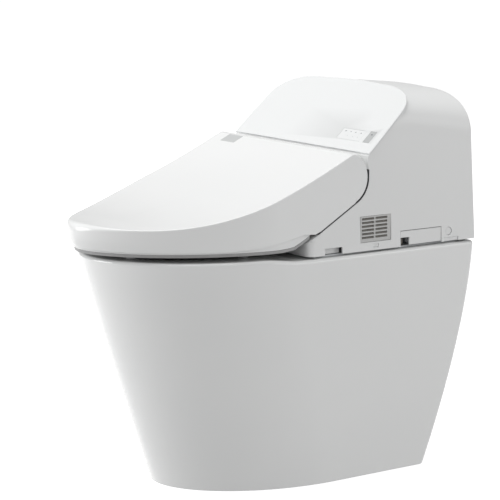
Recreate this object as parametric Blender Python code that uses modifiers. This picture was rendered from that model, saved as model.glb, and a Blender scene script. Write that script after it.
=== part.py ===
"""Electric bidet toilet: a heated wash seat unit with its lid, built on its own ceramic bowl.

Metres, +Z up. The origin is on the floor, under the middle of the whole object.
-Y is the front, +X is the side with the vent grille.
"""

from math import cos, pi, radians, sin, sqrt, tan

import bmesh
import bpy
from mathutils import Matrix, Vector

# Driving dimensions
HALF_LENGTH = 0.3406
HALF_WIDTH = 0.2052
RIM_Z = 0.398
GAP = 0.0003

# Bowl
FOOT_FRONT, FOOT_REAR, FOOT_HALF = -0.183, 0.268, 0.163
CERAMIC = 0.012
RIM_RISE = 0.007
RIM_TOP = RIM_Z + RIM_RISE
BASIN_CENTRE = -0.119
SUMP_Y, SUMP_Z = -0.040, 0.190
OUTLET_Y = 0.150

# Lid and seat
HINGE_Y, HINGE_Z = 0.065, 0.525
LID_HALF, LID_NOSE = 0.1965, 0.268
NOSE_POWER = 1.66
LID_WALL = 0.0035
BARREL = 0.0455
SLOPE = radians(30)
SEAT_HALF, SEAT_FRONT, SEAT_NOSE = 0.1912, -0.3290, 0.262
SEAT_BOTTOM, SEAT_TOP = 0.4135, 0.436
SEAT_REAR = 0.045
HOLE_HALF, HOLE_FRONT, HOLE_REAR = 0.106, -0.245, -0.018
PIN_R = 0.005

# Housing
BASE_Z = 0.4014
COVER_Z = 0.4018
COVER_FRONT = -0.012
WALL_Y = 0.1125
COVER_WALL = 0.003
PANEL_Z = 0.5641
PANEL_TILT = radians(42)
PANEL_HALF, PANEL_RISE, PANEL_THICK = 0.196, 0.1555, 0.003
COVER_ARC = BARREL + 0.002

# Nozzle
NOZZLE_Z = 0.415
NOZZLE_TILT = radians(28)
GEAR_TEETH, GEAR_MODULE = 16, 0.001
GEAR_X, GEAR_Y = -0.016, 0.058


# Scene, materials and small helpers

for old in list(bpy.data.objects):
    bpy.data.objects.remove(old, do_unlink=True)

parts = bpy.data.collections.new("bidet_toilet")
cutters = bpy.data.collections.new("cutters")
bpy.context.scene.collection.children.link(parts)
bpy.context.scene.collection.children.link(cutters)
cutters.hide_render = True


def principled(name, colour, roughness, metallic=0.0):
    material = bpy.data.materials.new(name)
    material.use_nodes = True
    shader = material.node_tree.nodes["Principled BSDF"]
    shader.inputs["Base Color"].default_value = (*colour, 1)
    shader.inputs["Roughness"].default_value = roughness
    shader.inputs["Metallic"].default_value = metallic
    return material


CERAMIC_WHITE = principled("ceramic", (0.86, 0.87, 0.87), 0.12)
PLASTIC_WHITE = principled("white_plastic", (0.84, 0.85, 0.85), 0.28)
SEAT_WHITE = principled("seat_plastic", (0.83, 0.84, 0.84), 0.22)
PALE_GREY = principled("pale_grey_plastic", (0.62, 0.64, 0.65), 0.35)
DARK_GREY = principled("dark_grey_plastic", (0.10, 0.10, 0.11), 0.5)
RUBBER = principled("grey_rubber", (0.35, 0.35, 0.36), 0.8)
STEEL = principled("steel", (0.6, 0.6, 0.62), 0.3, 1.0)
BRASS = principled("brass", (0.72, 0.55, 0.28), 0.35, 1.0)
BOARD_GREEN = principled("circuit_board", (0.05, 0.22, 0.10), 0.5)
FOIL = principled("heater_foil", (0.75, 0.70, 0.60), 0.4, 0.6)


def add(name, mesh, material=None, parent=None, helper=False):
    obj = bpy.data.objects.new(name, mesh)
    (cutters if helper else parts).objects.link(obj)
    if helper:
        obj.hide_render = True
        obj.display_type = "WIRE"
    if material:
        mesh.materials.append(material)
    if parent:
        obj.parent = parent
    return obj


def mesh_from(name, bm):
    bmesh.ops.recalc_face_normals(bm, faces=bm.faces)
    mesh = bpy.data.meshes.new(name)
    bm.to_mesh(mesh)
    bm.free()
    return mesh


def bevel(obj, width, segments=1):
    modifier = obj.modifiers.new("Bevel", "BEVEL")
    modifier.width = width
    modifier.segments = segments
    modifier.limit_method = "ANGLE"
    return obj


def boolean(obj, other, operation="DIFFERENCE", solver="EXACT"):
    modifier = obj.modifiers.new(operation.title(), "BOOLEAN")
    modifier.operation = operation
    modifier.object = other
    modifier.solver = solver
    return obj


def block(name, low, high, material=None, edge=0.0, **more):
    """A box between two corners, given in its parent's frame."""
    bm = bmesh.new()
    size = Vector(high) - Vector(low)
    middle = (Vector(high) + Vector(low)) / 2
    bmesh.ops.create_cube(bm, size=1, matrix=Matrix.Diagonal((*size, 1)))
    obj = add(name, mesh_from(name, bm), material, **more)
    obj.location = middle
    return bevel(obj, edge) if edge else obj


TURNS = {
    "X": Matrix.Rotation(pi / 2, 4, "Y"),
    "Y": Matrix.Rotation(-pi / 2, 4, "X"),
    "Z": Matrix.Identity(4),
}


def rod(name, centre, axis, radius, length, material=None, sides=24, end=None, edge=0.0, **more):
    """A cylinder, or a cone when its far end has its own radius, centred on a point."""
    bm = bmesh.new()
    far = radius if end is None else end
    bmesh.ops.create_cone(
        bm, cap_ends=True, segments=sides, radius1=radius, radius2=far, depth=length,
        matrix=TURNS[axis],
    )
    obj = add(name, mesh_from(name, bm), material, **more)
    obj.location = centre
    if edge:
        bevel(obj, edge)
    obj.data.shade_smooth()
    obj.data.set_sharp_from_angle(angle=radians(40))
    return obj


def loft(name, rings, material=None, **more):
    """A closed skin through rings of the same number of points, with flat ends."""
    bm = bmesh.new()
    loops = [[bm.verts.new(point) for point in ring] for ring in rings]
    count = len(loops[0])
    for lower, upper in zip(loops, loops[1:]):
        for i in range(count):
            j = (i + 1) % count
            bm.faces.new((lower[i], lower[j], upper[j], upper[i]))
    bm.faces.new(loops[0])
    bm.faces.new(loops[-1])
    return add(name, mesh_from(name, bm), material, **more)


PLANES = {
    "XY": Matrix.Identity(4),
    "YZ": Matrix(((0, 0, 1, 0), (1, 0, 0, 0), (0, 1, 0, 0), (0, 0, 0, 1))),
}


def plate(name, outline, low, high, plane="XY", material=None, **more):
    """A flat outline, as a filled 2D curve, extruded between two heights over its plane."""
    curve = bpy.data.curves.new(name, "CURVE")
    curve.dimensions = "2D"
    curve.fill_mode = "BOTH"
    curve.extrude = (high - low) / 2
    spline = curve.splines.new("POLY")
    spline.points.add(len(outline) - 1)
    for point, (u, v) in zip(spline.points, outline):
        point.co = (u, v, 0, 1)
    spline.use_cyclic_u = True
    flat = bpy.data.objects.new(name, curve)
    cutters.objects.link(flat)
    graph = bpy.context.evaluated_depsgraph_get()
    mesh = bpy.data.meshes.new_from_object(flat.evaluated_get(graph))
    bpy.data.objects.remove(flat, do_unlink=True)
    bm = bmesh.new()
    bm.from_mesh(mesh)
    bpy.data.meshes.remove(mesh)
    bmesh.ops.remove_doubles(bm, verts=bm.verts, dist=0.000001)
    bmesh.ops.translate(bm, verts=bm.verts, vec=(0, 0, (high + low) / 2))
    bmesh.ops.transform(bm, verts=bm.verts, matrix=PLANES[plane])
    return add(name, mesh_from(name, bm), material, **more)


def pipe(name, points, radius, material=None, **more):
    """A solid round bar along a line of points."""
    curve = bpy.data.curves.new(name, "CURVE")
    curve.dimensions = "3D"
    curve.bevel_depth = radius
    curve.bevel_resolution = 4
    curve.use_fill_caps = True
    spline = curve.splines.new("POLY")
    spline.points.add(len(points) - 1)
    for point, place in zip(spline.points, points):
        point.co = (*place, 1)
    bar = bpy.data.objects.new(name, curve)
    cutters.objects.link(bar)
    graph = bpy.context.evaluated_depsgraph_get()
    mesh = bpy.data.meshes.new_from_object(bar.evaluated_get(graph))
    bpy.data.objects.remove(bar, do_unlink=True)
    bm = bmesh.new()
    bm.from_mesh(mesh)
    bpy.data.meshes.remove(mesh)
    bmesh.ops.remove_doubles(bm, verts=bm.verts, dist=0.000001)
    return add(name, mesh_from(name, bm), material, **more)


def arc(centre, radius, start, end, count):
    """Points on a circle from one angle to another, in degrees."""
    step = (end - start) / (count - 1)
    angles = [radians(start + step * i) for i in range(count)]
    return [(centre[0] + radius * cos(a), centre[1] + radius * sin(a)) for a in angles]


def grown(outline, distance):
    """An anticlockwise outline moved outwards by a distance, square to its sides."""
    moved = []
    count = len(outline)
    for i in range(count):
        here = Vector(outline[i])
        before = (here - Vector(outline[i - 1])).normalized()
        after = (Vector(outline[(i + 1) % count]) - here).normalized()
        side = Vector((before.y + after.y, -before.x - after.x))
        side *= 2 / side.length_squared
        moved.append(tuple(here + side * distance))
    return moved


def nose_plan(front, nose, half, rear, power, corner=0.0, count=32):
    """A plan outline: a rounded nose, straight sides and a square or rounded rear."""
    points = []
    for i in range(count + 1):
        turn = -pi / 2 + pi * i / count
        reach = abs(sin(turn)) ** (2 / power)
        x = half * (reach if turn > 0 else -reach)
        points.append((x, front + nose - nose * cos(turn) ** (2 / power)))
    if corner:
        points += arc((half - corner, rear - corner), corner, 0, 90, 5)
        points += arc((corner - half, rear - corner), corner, 90, 180, 5)
    else:
        points += [(half, rear), (-half, rear)]
    return points


def oval_plan(half, front, rear, count=40):
    """An egg, wider behind its middle, as a seat's opening is."""
    middle = (front + rear) / 2
    reach = (rear - front) / 2
    points = []
    for i in range(count):
        turn = 2 * pi * i / count
        x = half * cos(turn) * (1 + 0.06 * sin(turn))
        points.append((x, middle + reach * sin(turn)))
    return points


# Shapes that several pieces share


def lid_top(y):
    """Height of the lid's upper edge: level at the front, rising to the hinge."""
    u = max(y, -HALF_LENGTH) + HALF_LENGTH
    return 0.4646 - 0.162 * u + 1.371 * u**2 - 0.983 * u**3


def hinge_arc(radius, start, end, count=10):
    return arc((HINGE_Y, HINGE_Z), radius, start, end, count)


def slope_z(y, distance):
    """Height of the line that climbs to the hinge, passing under it at a distance."""
    return HINGE_Z - distance / cos(SLOPE) + (y - HINGE_Y) * tan(SLOPE)


def lid_side(inset=0.0):
    """The lid seen from +X; an inset gives the hollow inside it, open below."""
    bottom = 0.4222
    far = -HALF_LENGTH - 0.02
    count = 22
    if inset:
        lower = [(far, 0.38), (-0.06, 0.38), (0.085, slope_z(0.085, BARREL + 0.012))]
    else:
        lower = [(far, bottom), (-0.160, bottom), (-0.105, 0.4255), (-0.060, 0.4325)]
        lower += [(-0.020, 0.4400), (0.006, slope_z(0.006, BARREL))]
    barrel = hinge_arc(BARREL - inset, -60, 66, 14)
    rear = 0.080
    ys = [rear + (far - rear) * i / count for i in range(count + 1)]
    top = [(y, lid_top(y) - inset * 1.05) for y in ys]
    return lower + barrel + top


def lid_plan(inset=0.0):
    return nose_plan(
        -HALF_LENGTH + inset, LID_NOSE - inset, LID_HALF - inset, HINGE_Y + 0.06, NOSE_POWER
    )


def seat_side(rise, top_drop=0.0, rear=SEAT_REAR + 0.01):
    """The seat seen from +X, from a height over its underside up to its top."""
    far = -HALF_LENGTH - 0.02
    bottom = [(far, SEAT_BOTTOM + rise), (-0.060, SEAT_BOTTOM + rise)]
    bottom += [(-0.036, SEAT_BOTTOM + 0.0025 + rise)]
    bottom += [(y, slope_z(y, BARREL) + rise) for y in (-0.012, rear)]
    top = [(rear, slope_z(rear, BARREL) + 0.0175 - top_drop)]
    top += [(-0.012, slope_z(-0.012, BARREL) + 0.0170 - top_drop)]
    top += [(-0.060, SEAT_TOP - top_drop), (far, SEAT_TOP - top_drop)]
    return bottom + top


def seat_plan(inset=0.0):
    """The seat's outline, which narrows behind its sides to pass between the lid's cheeks."""
    half = SEAT_HALF - inset
    points = nose_plan(SEAT_FRONT + inset, SEAT_NOSE - inset, half, 0.0, NOSE_POWER)[:-2]
    neck = 0.166 - inset
    shoulder = 0.004 - inset
    end = SEAT_REAR - inset
    right = [(half, shoulder - 0.010), (half - 0.010, shoulder), (neck, shoulder)]
    right += [(neck, end)]
    return points + right + [(-x, y) for x, y in reversed(right)]


def panel_point(x, along, lift):
    """A point on the sloping front panel: across, up the slope, and out from its face."""
    y = WALL_Y + along * cos(PANEL_TILT) - lift * sin(PANEL_TILT)
    z = PANEL_Z + along * sin(PANEL_TILT) + lift * cos(PANEL_TILT)
    return Vector((x, y, z))


def cover_half(y):
    """Half width of the housing at its foot."""
    return 0.1985 + (HALF_WIDTH - 0.1985) * (y - COVER_FRONT) / (HALF_LENGTH - COVER_FRONT)


def corner_inset(depth, radius):
    """How far an upright rounded corner pulls the side in, at this depth behind its end face."""
    reach = radius - min(max(depth, 0), radius)
    return radius - sqrt(radius**2 - reach**2)


def cover_section(y, inset=0.0, count=14):
    """The housing cut across at y: leaning sides, rounded shoulders and a slightly crowned top."""
    back = min(max((y - 0.20) / (HALF_LENGTH - 0.20), 0), 1)
    shoulder_z = 0.598 + (0.575 - 0.598) * back
    top = 0.6685 + (0.6555 - 0.6685) * back - inset
    power = 2.6 + (2.4 - 2.6) * back
    corner = corner_inset(y - COVER_FRONT - inset, 0.012 - inset)
    corner += corner_inset(HALF_LENGTH - inset - y, 0.0035 - inset)
    half = cover_half(y) - inset - corner
    high = 0.1925 + (0.1915 - 0.1925) * back - inset - corner
    flat = 0.068
    right = [(half, COVER_Z - 0.02), (half, COVER_Z)]
    for i in range(count + 1):
        turn = pi / 2 * i / count
        x = flat + (high - flat) * cos(turn) ** (2 / power)
        z = shoulder_z + (top - 0.002 - shoulder_z) * sin(turn) ** (2 / power)
        right.append((x, z))
    right.append((flat / 2, top - 0.0005))
    points = right + [(0, top)] + [(-x, z) for x, z in reversed(right)]
    return [(x, y, z) for x, z in points]


def cover_side(drop=0.0):
    """The housing seen from +X: foot, rear, panel slope, the hollow round the lid's hinge, nose."""
    low = COVER_Z
    lift = -(PANEL_THICK + GAP)
    foot = panel_point(0, 0, lift)
    slope = tan(PANEL_TILT)
    start = (WALL_Y, foot.z - (foot.y - WALL_Y) * slope)
    high = 0.70
    points = [(COVER_FRONT, low), (HALF_LENGTH, low), (HALF_LENGTH, high)]
    points += [(WALL_Y + (high - start[1]) / slope, high), start, (WALL_Y, HINGE_Z)]
    points += hinge_arc(COVER_ARC, -6, -60, 8)
    nose_y = COVER_FRONT + 0.005
    points += [(nose_y, slope_z(nose_y, COVER_ARC)), (COVER_FRONT, slope_z(COVER_FRONT, COVER_ARC) - 0.003)]
    points = grown(points, -drop) if drop else points
    if drop:
        points = [(y, low - 0.01 if z < low + drop * 1.5 else z) for y, z in points]
    return points


# Bowl and floor fixings


def blend(t):
    return t * t * (3 - 2 * t)


def bowl_ring(z, inset=0.0):
    s = z / RIM_Z
    half = FOOT_HALF + (HALF_WIDTH - FOOT_HALF) * (1 - (1 - s) ** 1.35) - inset
    front = FOOT_FRONT - 0.1415 * s + 0.011 * s**2 + inset
    rear = FOOT_REAR + (HALF_LENGTH - FOOT_REAR) * (1 - (1 - s) ** 1.6) - inset
    nose = 0.25 + 0.02 * s - inset
    outline = nose_plan(front, nose, half, rear, 1.9, max(0.005 - inset, 0.003), 32)
    return [(x, y, z) for x, y in outline]


def basin_ring(z, y, half, reach):
    turns = [2 * pi * i / 36 for i in range(36)]
    return [(half * cos(t), y + reach * sin(t), z) for t in turns]


def basin(name, wall):
    """The inside of the bowl, or, with a wall, the ceramic round it."""
    shape = [
        (RIM_Z + 0.02, BASIN_CENTRE, 0.126, 0.149),
        (0.370, -0.118, 0.125, 0.147),
        (0.320, -0.108, 0.116, 0.134),
        (0.270, -0.088, 0.096, 0.108),
        (0.225, -0.062, 0.068, 0.074),
        (SUMP_Z, SUMP_Y, 0.040, 0.042),
    ]
    if wall:
        shape[0] = (RIM_Z - 0.004, BASIN_CENTRE, 0.126, 0.149)
    rings = [basin_ring(z, y, half + wall, reach + wall) for z, y, half, reach in shape]
    if wall:
        rings.append(basin_ring(SUMP_Z - wall, SUMP_Y, 0.040, 0.042))
    return loft(name, rings, helper=True)


def make_bowl():
    levels = [0.0, 0.05, 0.11, 0.17, 0.23, 0.29, 0.34, 0.375]
    rings = [bowl_ring(z) for z in levels]
    for drop, inset in ((0.005, 0.0), (0.0015, 0.0012), (0.0, 0.0045)):
        rings.append([(x, y, RIM_TOP - drop) for x, y, _ in bowl_ring(0.393, inset)])
    bowl = loft("ceramic_bowl", rings, CERAMIC_WHITE)
    # The rim under the seat stands higher than the deck that carries the housing.
    slope = [(-0.100 + 0.080 * i / 8, RIM_TOP - RIM_RISE * blend(i / 8)) for i in range(1, 9)]
    deck = [(-0.100, RIM_TOP + 0.01), (-0.100, RIM_TOP + 0.0005), *slope, (0.4, RIM_Z), (0.4, RIM_TOP + 0.01)]
    boolean(bowl, plate("deck", deck, -0.3, 0.3, "YZ", helper=True))
    inner = [bowl_ring(max(z, 0), CERAMIC) for z in (0.0, 0.06, 0.15, 0.24, 0.33, RIM_Z - CERAMIC)]
    inner[0] = [(x, y, -0.01) for x, y, _ in inner[0]]
    boolean(bowl, loft("skirt_hollow", inner, helper=True))
    boolean(bowl, basin("basin_outside", 0.011), "UNION")
    boolean(bowl, basin("basin_inside", 0.0))
    hole = rod("sump_hole", (0, SUMP_Y, SUMP_Z), "Z", 0.027, 0.06, helper=True)
    boolean(bowl, hole)


def trap_route():
    """The drain's centre line: down, round the water seal, over the weir and down to the floor."""
    top = SUMP_Z - 0.011 - GAP
    line = [(SUMP_Y, top), (SUMP_Y, 0.13)]
    line += arc((SUMP_Y + 0.05, 0.105), 0.05, 180, 360, 10)
    line += [(SUMP_Y + 0.10, 0.13)]
    line += arc((OUTLET_Y - 0.045, 0.150), 0.045, 180, 0, 10)
    line += [(OUTLET_Y, 0.08), (OUTLET_Y, 0.0123)]
    return [(0, y, z) for y, z in line]


def make_drain():
    route = trap_route()
    trap = pipe("trapway_pipe", route, 0.033, CERAMIC_WHITE)
    longer = [(0, SUMP_Y, route[0][2] + 0.01)] + route + [(0, OUTLET_Y, 0.002)]
    boolean(trap, pipe("trap_bore", longer, 0.028, helper=True))
    flange = rod("outlet_flange", (0, OUTLET_Y, 0.006), "Z", 0.058, 0.012, DARK_GREY, 32)
    boolean(flange, rod("flange_bore", (0, OUTLET_Y, 0.006), "Z", 0.028, 0.03, sides=32, helper=True))


def make_floor_fixings():
    for side, x in (("left", -0.118), ("right", 0.118)):
        bracket = block(
            f"floor_bracket_{side}", (x - 0.016, 0.190, 0), (x + 0.016, 0.235, 0.024),
            PALE_GREY, 0.002,
        )
        middle = (x, 0.2125, 0.012)
        boolean(bracket, rod(f"bracket_hole_{side}", middle, "Z", 0.0045, 0.05, sides=16, helper=True))
        bolt = rod(f"floor_bolt_{side}", (x, 0.2125, 0.0156), "Z", 0.0038, 0.027, STEEL, 16)
        head = rod(f"bolt_head_{side}", (x, 0.2125, 0.0273), "Z", 0.0075, 0.006, sides=6, helper=True)
        boolean(bolt, head, "UNION")


# Lid


def make_lid():
    lid = plate("lid_shell", lid_plan(), 0.40, 0.60, material=SEAT_WHITE)
    reach = LID_HALF + 0.01
    boolean(lid, plate("lid_profile", lid_side(), -reach, reach, "YZ", helper=True), "INTERSECT")
    hollow = plate("lid_hollow_plan", lid_plan(LID_WALL), 0.36, 0.62, helper=True)
    side = plate("lid_hollow_side", lid_side(LID_WALL), -reach, reach, "YZ", helper=True)
    boolean(hollow, side, "INTERSECT")
    boolean(lid, hollow)
    middle = HINGE_Z + (BARREL - 0.0005) * sin(radians(45))
    slot = block(
        "lid_rear_slot", (-0.172, HINGE_Y + 0.0185, 0.39), (0.172, HINGE_Y + 0.06, middle),
        helper=True,
    )
    boolean(lid, slot)
    for side, sign in (("left", -1), ("right", 1)):
        centre = (sign * 0.1825, HINGE_Y, HINGE_Z)
        boss = rod(f"lid_boss_{side}", centre, "X", 0.014, 0.024, sides=20, helper=True)
        boolean(lid, boss, "UNION")
        centre = (sign * 0.175, HINGE_Y, HINGE_Z)
        bore = rod(f"lid_bore_{side}", centre, "X", PIN_R + 0.0004, 0.022, sides=20, helper=True)
        boolean(lid, bore)


def make_lid_fittings():
    ys = [0.030 - 0.36 * i / 14 for i in range(15)]
    band = [(y, lid_top(y) - 0.0041) for y in ys]
    band += [(y, lid_top(y) - 0.0063) for y in reversed(ys)]
    liner = plate("lid_liner", lid_plan(LID_WALL + 0.004), 0.40, 0.60, material=PALE_GREY)
    side = plate("liner_side", band, -0.21, 0.21, "YZ", helper=True)
    boolean(liner, side, "INTERSECT")
    for side, x in (("left", -0.062), ("right", 0.062)):
        y = -0.278
        low = SEAT_TOP + GAP * 2
        high = lid_top(y) - 0.0063 - 0.0006
        centre = (x, y, (low + high) / 2)
        rod(f"lid_buffer_{side}", centre, "Z", 0.0065, high - low, RUBBER, 16, edge=0.001)


def make_lid_sensor():
    """A thin window let into the lid's top near the hinge, on the -X side."""
    low, high = (-0.162, 0.0560), (-0.120, 0.0785)
    lid = bpy.data.objects["lid_shell"]
    corners = [(low[0], low[1]), (high[0], low[1]), high, (low[0], high[1])]
    window = plate("lid_sensor_window", corners, 0.50, 0.60, material=PALE_GREY)
    pocket_corners = grown(corners, GAP)
    pocket = plate("sensor_pocket", pocket_corners, 0.50, 0.60, helper=True)
    ys = [high[1] + 0.004 - (high[1] - low[1] + 0.008) * i / 6 for i in range(7)]
    top = [(y, lid_top(y)) for y in ys]
    skin = top + [(y, lid_top(y) - 0.0014) for y in reversed(ys)]
    deep = [(y, lid_top(y) + 0.01) for y in ys] + [(y, lid_top(y) - 0.0017) for y in reversed(ys)]
    boolean(window, plate("window_skin", skin, -0.2, 0.2, "YZ", helper=True), "INTERSECT")
    boolean(pocket, plate("pocket_skin", deep, -0.2, 0.2, "YZ", helper=True), "INTERSECT")
    boolean(lid, pocket)


# Seat


def make_seat():
    reach = LID_HALF + 0.01
    hole = oval_plan(HOLE_HALF, HOLE_FRONT, HOLE_REAR)
    base = plate("seat_base", seat_plan(), 0.39, 0.52, material=SEAT_WHITE)
    thick = 0.0050
    bottom = seat_side(0.0)[:5]
    top = [(y, z + thick) for y, z in reversed(bottom)]
    boolean(base, plate("seat_base_side", bottom + top, -reach, reach, "YZ", helper=True), "INTERSECT")
    boolean(base, plate("seat_hole", hole, 0.38, 0.55, helper=True))
    for side, sign in (("left", -1), ("right", 1)):
        near, far = sorted((sign * 0.152, sign * 0.1655))
        outline = [(0.030, slope_z(0.030, BARREL) + 0.002), (0.046, slope_z(0.046, BARREL) + 0.002)]
        outline += hinge_arc(0.014, -30, 180, 9)
        boolean(base, plate(f"seat_lug_{side}", outline, near, far, "YZ", helper=True), "UNION")
        centre = (sign * 0.159, HINGE_Y, HINGE_Z)
        bore = rod(f"seat_bore_{side}", centre, "X", PIN_R + 0.0004, 0.03, sides=20, helper=True)
        boolean(base, bore)

    shell = plate("seat_shell", seat_plan(), 0.39, 0.52, material=SEAT_WHITE)
    side = plate("seat_shell_side", seat_side(thick + GAP), -reach, reach, "YZ", helper=True)
    boolean(shell, side, "INTERSECT")
    boolean(shell, plate("shell_hole", hole, 0.38, 0.55, helper=True))
    ring_in = seat_plan(0.003)
    hollow = plate("seat_hollow", ring_in, 0.38, 0.52, helper=True)
    side = plate("seat_hollow_side", seat_side(thick - 0.004, 0.003, 0.038), -reach, reach, "YZ", helper=True)
    boolean(hollow, side, "INTERSECT")
    boolean(hollow, plate("hollow_island", grown(hole, 0.003), 0.37, 0.56, helper=True))
    boolean(shell, hollow)
    for sign in (-1, 1):
        near, far = sorted((sign * 0.1505, sign * 0.1670))
        slot = block(f"lug_slot_{sign}", (near, 0.020, 0.44), (far, 0.060, 0.50), helper=True)
        boolean(shell, slot)

    outline = nose_plan(SEAT_FRONT + 0.010, SEAT_NOSE - 0.010, SEAT_HALF - 0.010, -0.055, NOSE_POWER)
    heater = plate("seat_heater", outline, 0.4196, 0.4206, material=FOIL)
    boolean(heater, plate("heater_hole", grown(hole, 0.008), 0.38, 0.55, helper=True))


def make_seat_buffers():
    low, high = RIM_TOP + 0.0005, SEAT_BOTTOM - GAP
    for name, x, y in (
        ("front_left", -0.058, -0.268), ("front_right", 0.058, -0.268),
        ("rear_left", -0.150, -0.110), ("rear_right", 0.150, -0.110),
    ):
        centre = (x, y, (low + high) / 2)
        rod(f"seat_buffer_{name}", centre, "Z", 0.009, high - low, RUBBER, 20, edge=0.0015)


def make_hinge_units():
    for name, sign in (("seat_drive_unit", -1), ("lid_drive_unit", 1)):
        centre = (sign * 0.124, HINGE_Y, HINGE_Z)
        unit = rod(name, centre, "X", 0.022, 0.049, DARK_GREY, 28, edge=0.0015)
        near, far = sorted((sign * 0.104, sign * 0.144))
        foot = block(f"{name}_foot", (near, 0.0535, 0.4735), (far, 0.0672, HINGE_Z), helper=True)
        boolean(unit, foot, "UNION")
    for side, sign in (("left", -1), ("right", 1)):
        centre = (sign * (0.1490 + 0.1845) / 2, HINGE_Y, HINGE_Z)
        rod(f"hinge_pin_{side}", centre, "X", PIN_R, 0.035, STEEL, 20, edge=0.0006)


# Housing


def housing_form(name, inset=0.0, helper=True, material=None):
    turns = [pi / 2 * i / 4 for i in range(5)]
    front = [COVER_FRONT + inset + (0.012 - inset) * (1 - cos(turn)) for turn in turns]
    rear = [HALF_LENGTH - inset - (0.0035 - inset) * (1 - cos(turn)) for turn in turns]
    stations = [COVER_FRONT - 0.01, *front, 0.06, 0.14, 0.20, 0.245, 0.295]
    stations += [*reversed(rear), HALF_LENGTH + 0.01]
    form = loft(name, [cover_section(y, inset) for y in stations], material, helper=helper)
    side = plate(f"{name}_side", cover_side(inset), -0.22, 0.22, "YZ", helper=True)
    return boolean(form, side, "INTERSECT")


def make_housing():
    cover = housing_form("housing_cover", helper=False, material=PLASTIC_WHITE)
    boolean(cover, housing_form("cover_hollow", COVER_WALL))
    openings = {
        "grille_opening": ((0.185, 0.0930, 0.4155), (0.21, 0.1580, 0.4600)),
        "access_opening": ((0.185, 0.1773, 0.3900), (0.21, 0.2665, 0.4287)),
        "tab_opening": ((0.185, 0.2710, 0.3900), (0.21, 0.3030, 0.4085)),
        "latch_opening": ((0.185, 0.1198, 0.4060), (0.21, 0.1312, 0.4124)),
        "arm_notch": ((0.186, 0.0200, 0.3910), (0.21, 0.0560, 0.4132)),
        "nozzle_mouth": ((-0.0185, -0.03, 0.3900), (0.0185, 0.010, 0.4180)),
        "dryer_mouth": ((0.0330, -0.03, 0.3900), (0.0710, 0.010, 0.4180)),
        "service_opening": ((-0.21, 0.1800, 0.3900), (-0.185, 0.2400, 0.4400)),
    }
    for name, (low, high) in openings.items():
        boolean(cover, block(name, low, high, helper=True), solver="MANIFOLD")
    knob = rod("button_opening", (0.20, 0.2816, 0.4190), "X", 0.0073, 0.03, helper=True)
    boolean(cover, knob, solver="MANIFOLD")

    outline = nose_plan(-0.004, 0.03, 0.192, HALF_LENGTH - 0.006, 8, 0.012, 10)
    base = plate("base_plate", outline, RIM_Z + 0.0005, BASE_Z, material=PALE_GREY)
    notch = block("base_notch", (-0.022, -0.02, 0.39), (0.022, 0.035, 0.41), helper=True)
    boolean(base, notch)


def panel_plan(inset=0.0, count=16):
    """Half the panel is nearly straight; its two top corners are broad and rounded."""
    low, high = 0.0 + inset, PANEL_RISE - inset
    half, shoulder, flat = PANEL_HALF - inset, 0.085, 0.075
    right = [(half, low), (half - 0.0015, 0.045)]
    for i in range(count + 1):
        turn = pi / 2 * i / count
        x = flat + (half - 0.004 - flat) * cos(turn) ** (2 / 2.5)
        right.append((x, shoulder + (high - 0.003 - shoulder) * sin(turn) ** (2 / 2.5)))
    right.append((flat / 2, high - 0.0008))
    return right + [(0, high)] + [(-x, v) for x, v in reversed(right)]


def make_panel():
    frame = bpy.data.objects.new("panel_frame", None)
    parts.objects.link(frame)
    frame.location = (0, WALL_Y, PANEL_Z)
    frame.rotation_euler = (PANEL_TILT, 0, 0)
    more = {"parent": frame}
    panel = plate("front_panel", panel_plan(), -PANEL_THICK, 0, material=PLASTIC_WHITE, **more)
    for name, low, high, material in (
        ("display_window", (0.084, 0.022), (0.1475, 0.0455), PALE_GREY),
        ("receiver_window", (0.157, 0.0215), (0.1735, 0.0465), DARK_GREY),
    ):
        pocket = block(
            f"{name}_pocket", (low[0] - GAP, low[1] - GAP, -0.0018), (high[0] + GAP, high[1] + GAP, 0.01),
            helper=True, **more,
        )
        boolean(panel, pocket)
        block(name, (*low, -0.0015), (*high, 0.0), material, **more)
    block("display_board", (0.080, 0.016, -0.0125), (0.178, 0.052, -0.0109), BOARD_GREEN, **more)


def make_side_fittings():
    grille = block("vent_grille", (0.1962, 0.0934, 0.4159), (0.1992, 0.1576, 0.4596), PALE_GREY)
    for row in range(6):
        z = 0.4545 - 0.0066 * row
        for column, (low, high) in enumerate(((0.0965, 0.1225), (0.1255, 0.1500))):
            slot = block(
                f"grille_slot_{row}_{column}", (0.19, low, z - 0.0017), (0.21, high, z + 0.0017),
                helper=True,
            )
            boolean(grille, slot)
    block("filter_cartridge", (0.160, 0.0960, 0.4185), (0.1955, 0.1550, 0.4565), DARK_GREY, 0.002)
    block("grille_latch", (0.1955, 0.1201, 0.4063), (0.2000, 0.1309, 0.4121), PLASTIC_WHITE, 0.0008)

    door = block("access_cover", (0.1985, 0.1777, 0.4035), (0.2012, 0.2661, 0.4275), PLASTIC_WHITE)
    notch = block("finger_notch", (0.19, 0.170, 0.39), (0.21, 0.1965, 0.4166), helper=True)
    boolean(door, notch)
    knob = rod("drain_valve_knob", (0.186, 0.222, 0.4145), "X", 0.0095, 0.016, PALE_GREY, 12)
    wing = block("knob_wing", (0.193, 0.2200, 0.4065), (0.1965, 0.2240, 0.4225), helper=True)
    boolean(knob, wing, "UNION")
    block("drain_valve", (0.150, 0.208, BASE_Z + GAP), (0.1775, 0.236, 0.428), PALE_GREY, 0.002)

    rod("side_button", (0.1975, 0.2816, 0.4190), "X", 0.0069, 0.0090, PLASTIC_WHITE, 24, edge=0.0005)
    block("release_tab", (0.1930, 0.2713, 0.4020), (0.2026, 0.3027, 0.4080), PLASTIC_WHITE, 0.0008)


# Wash nozzle


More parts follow.
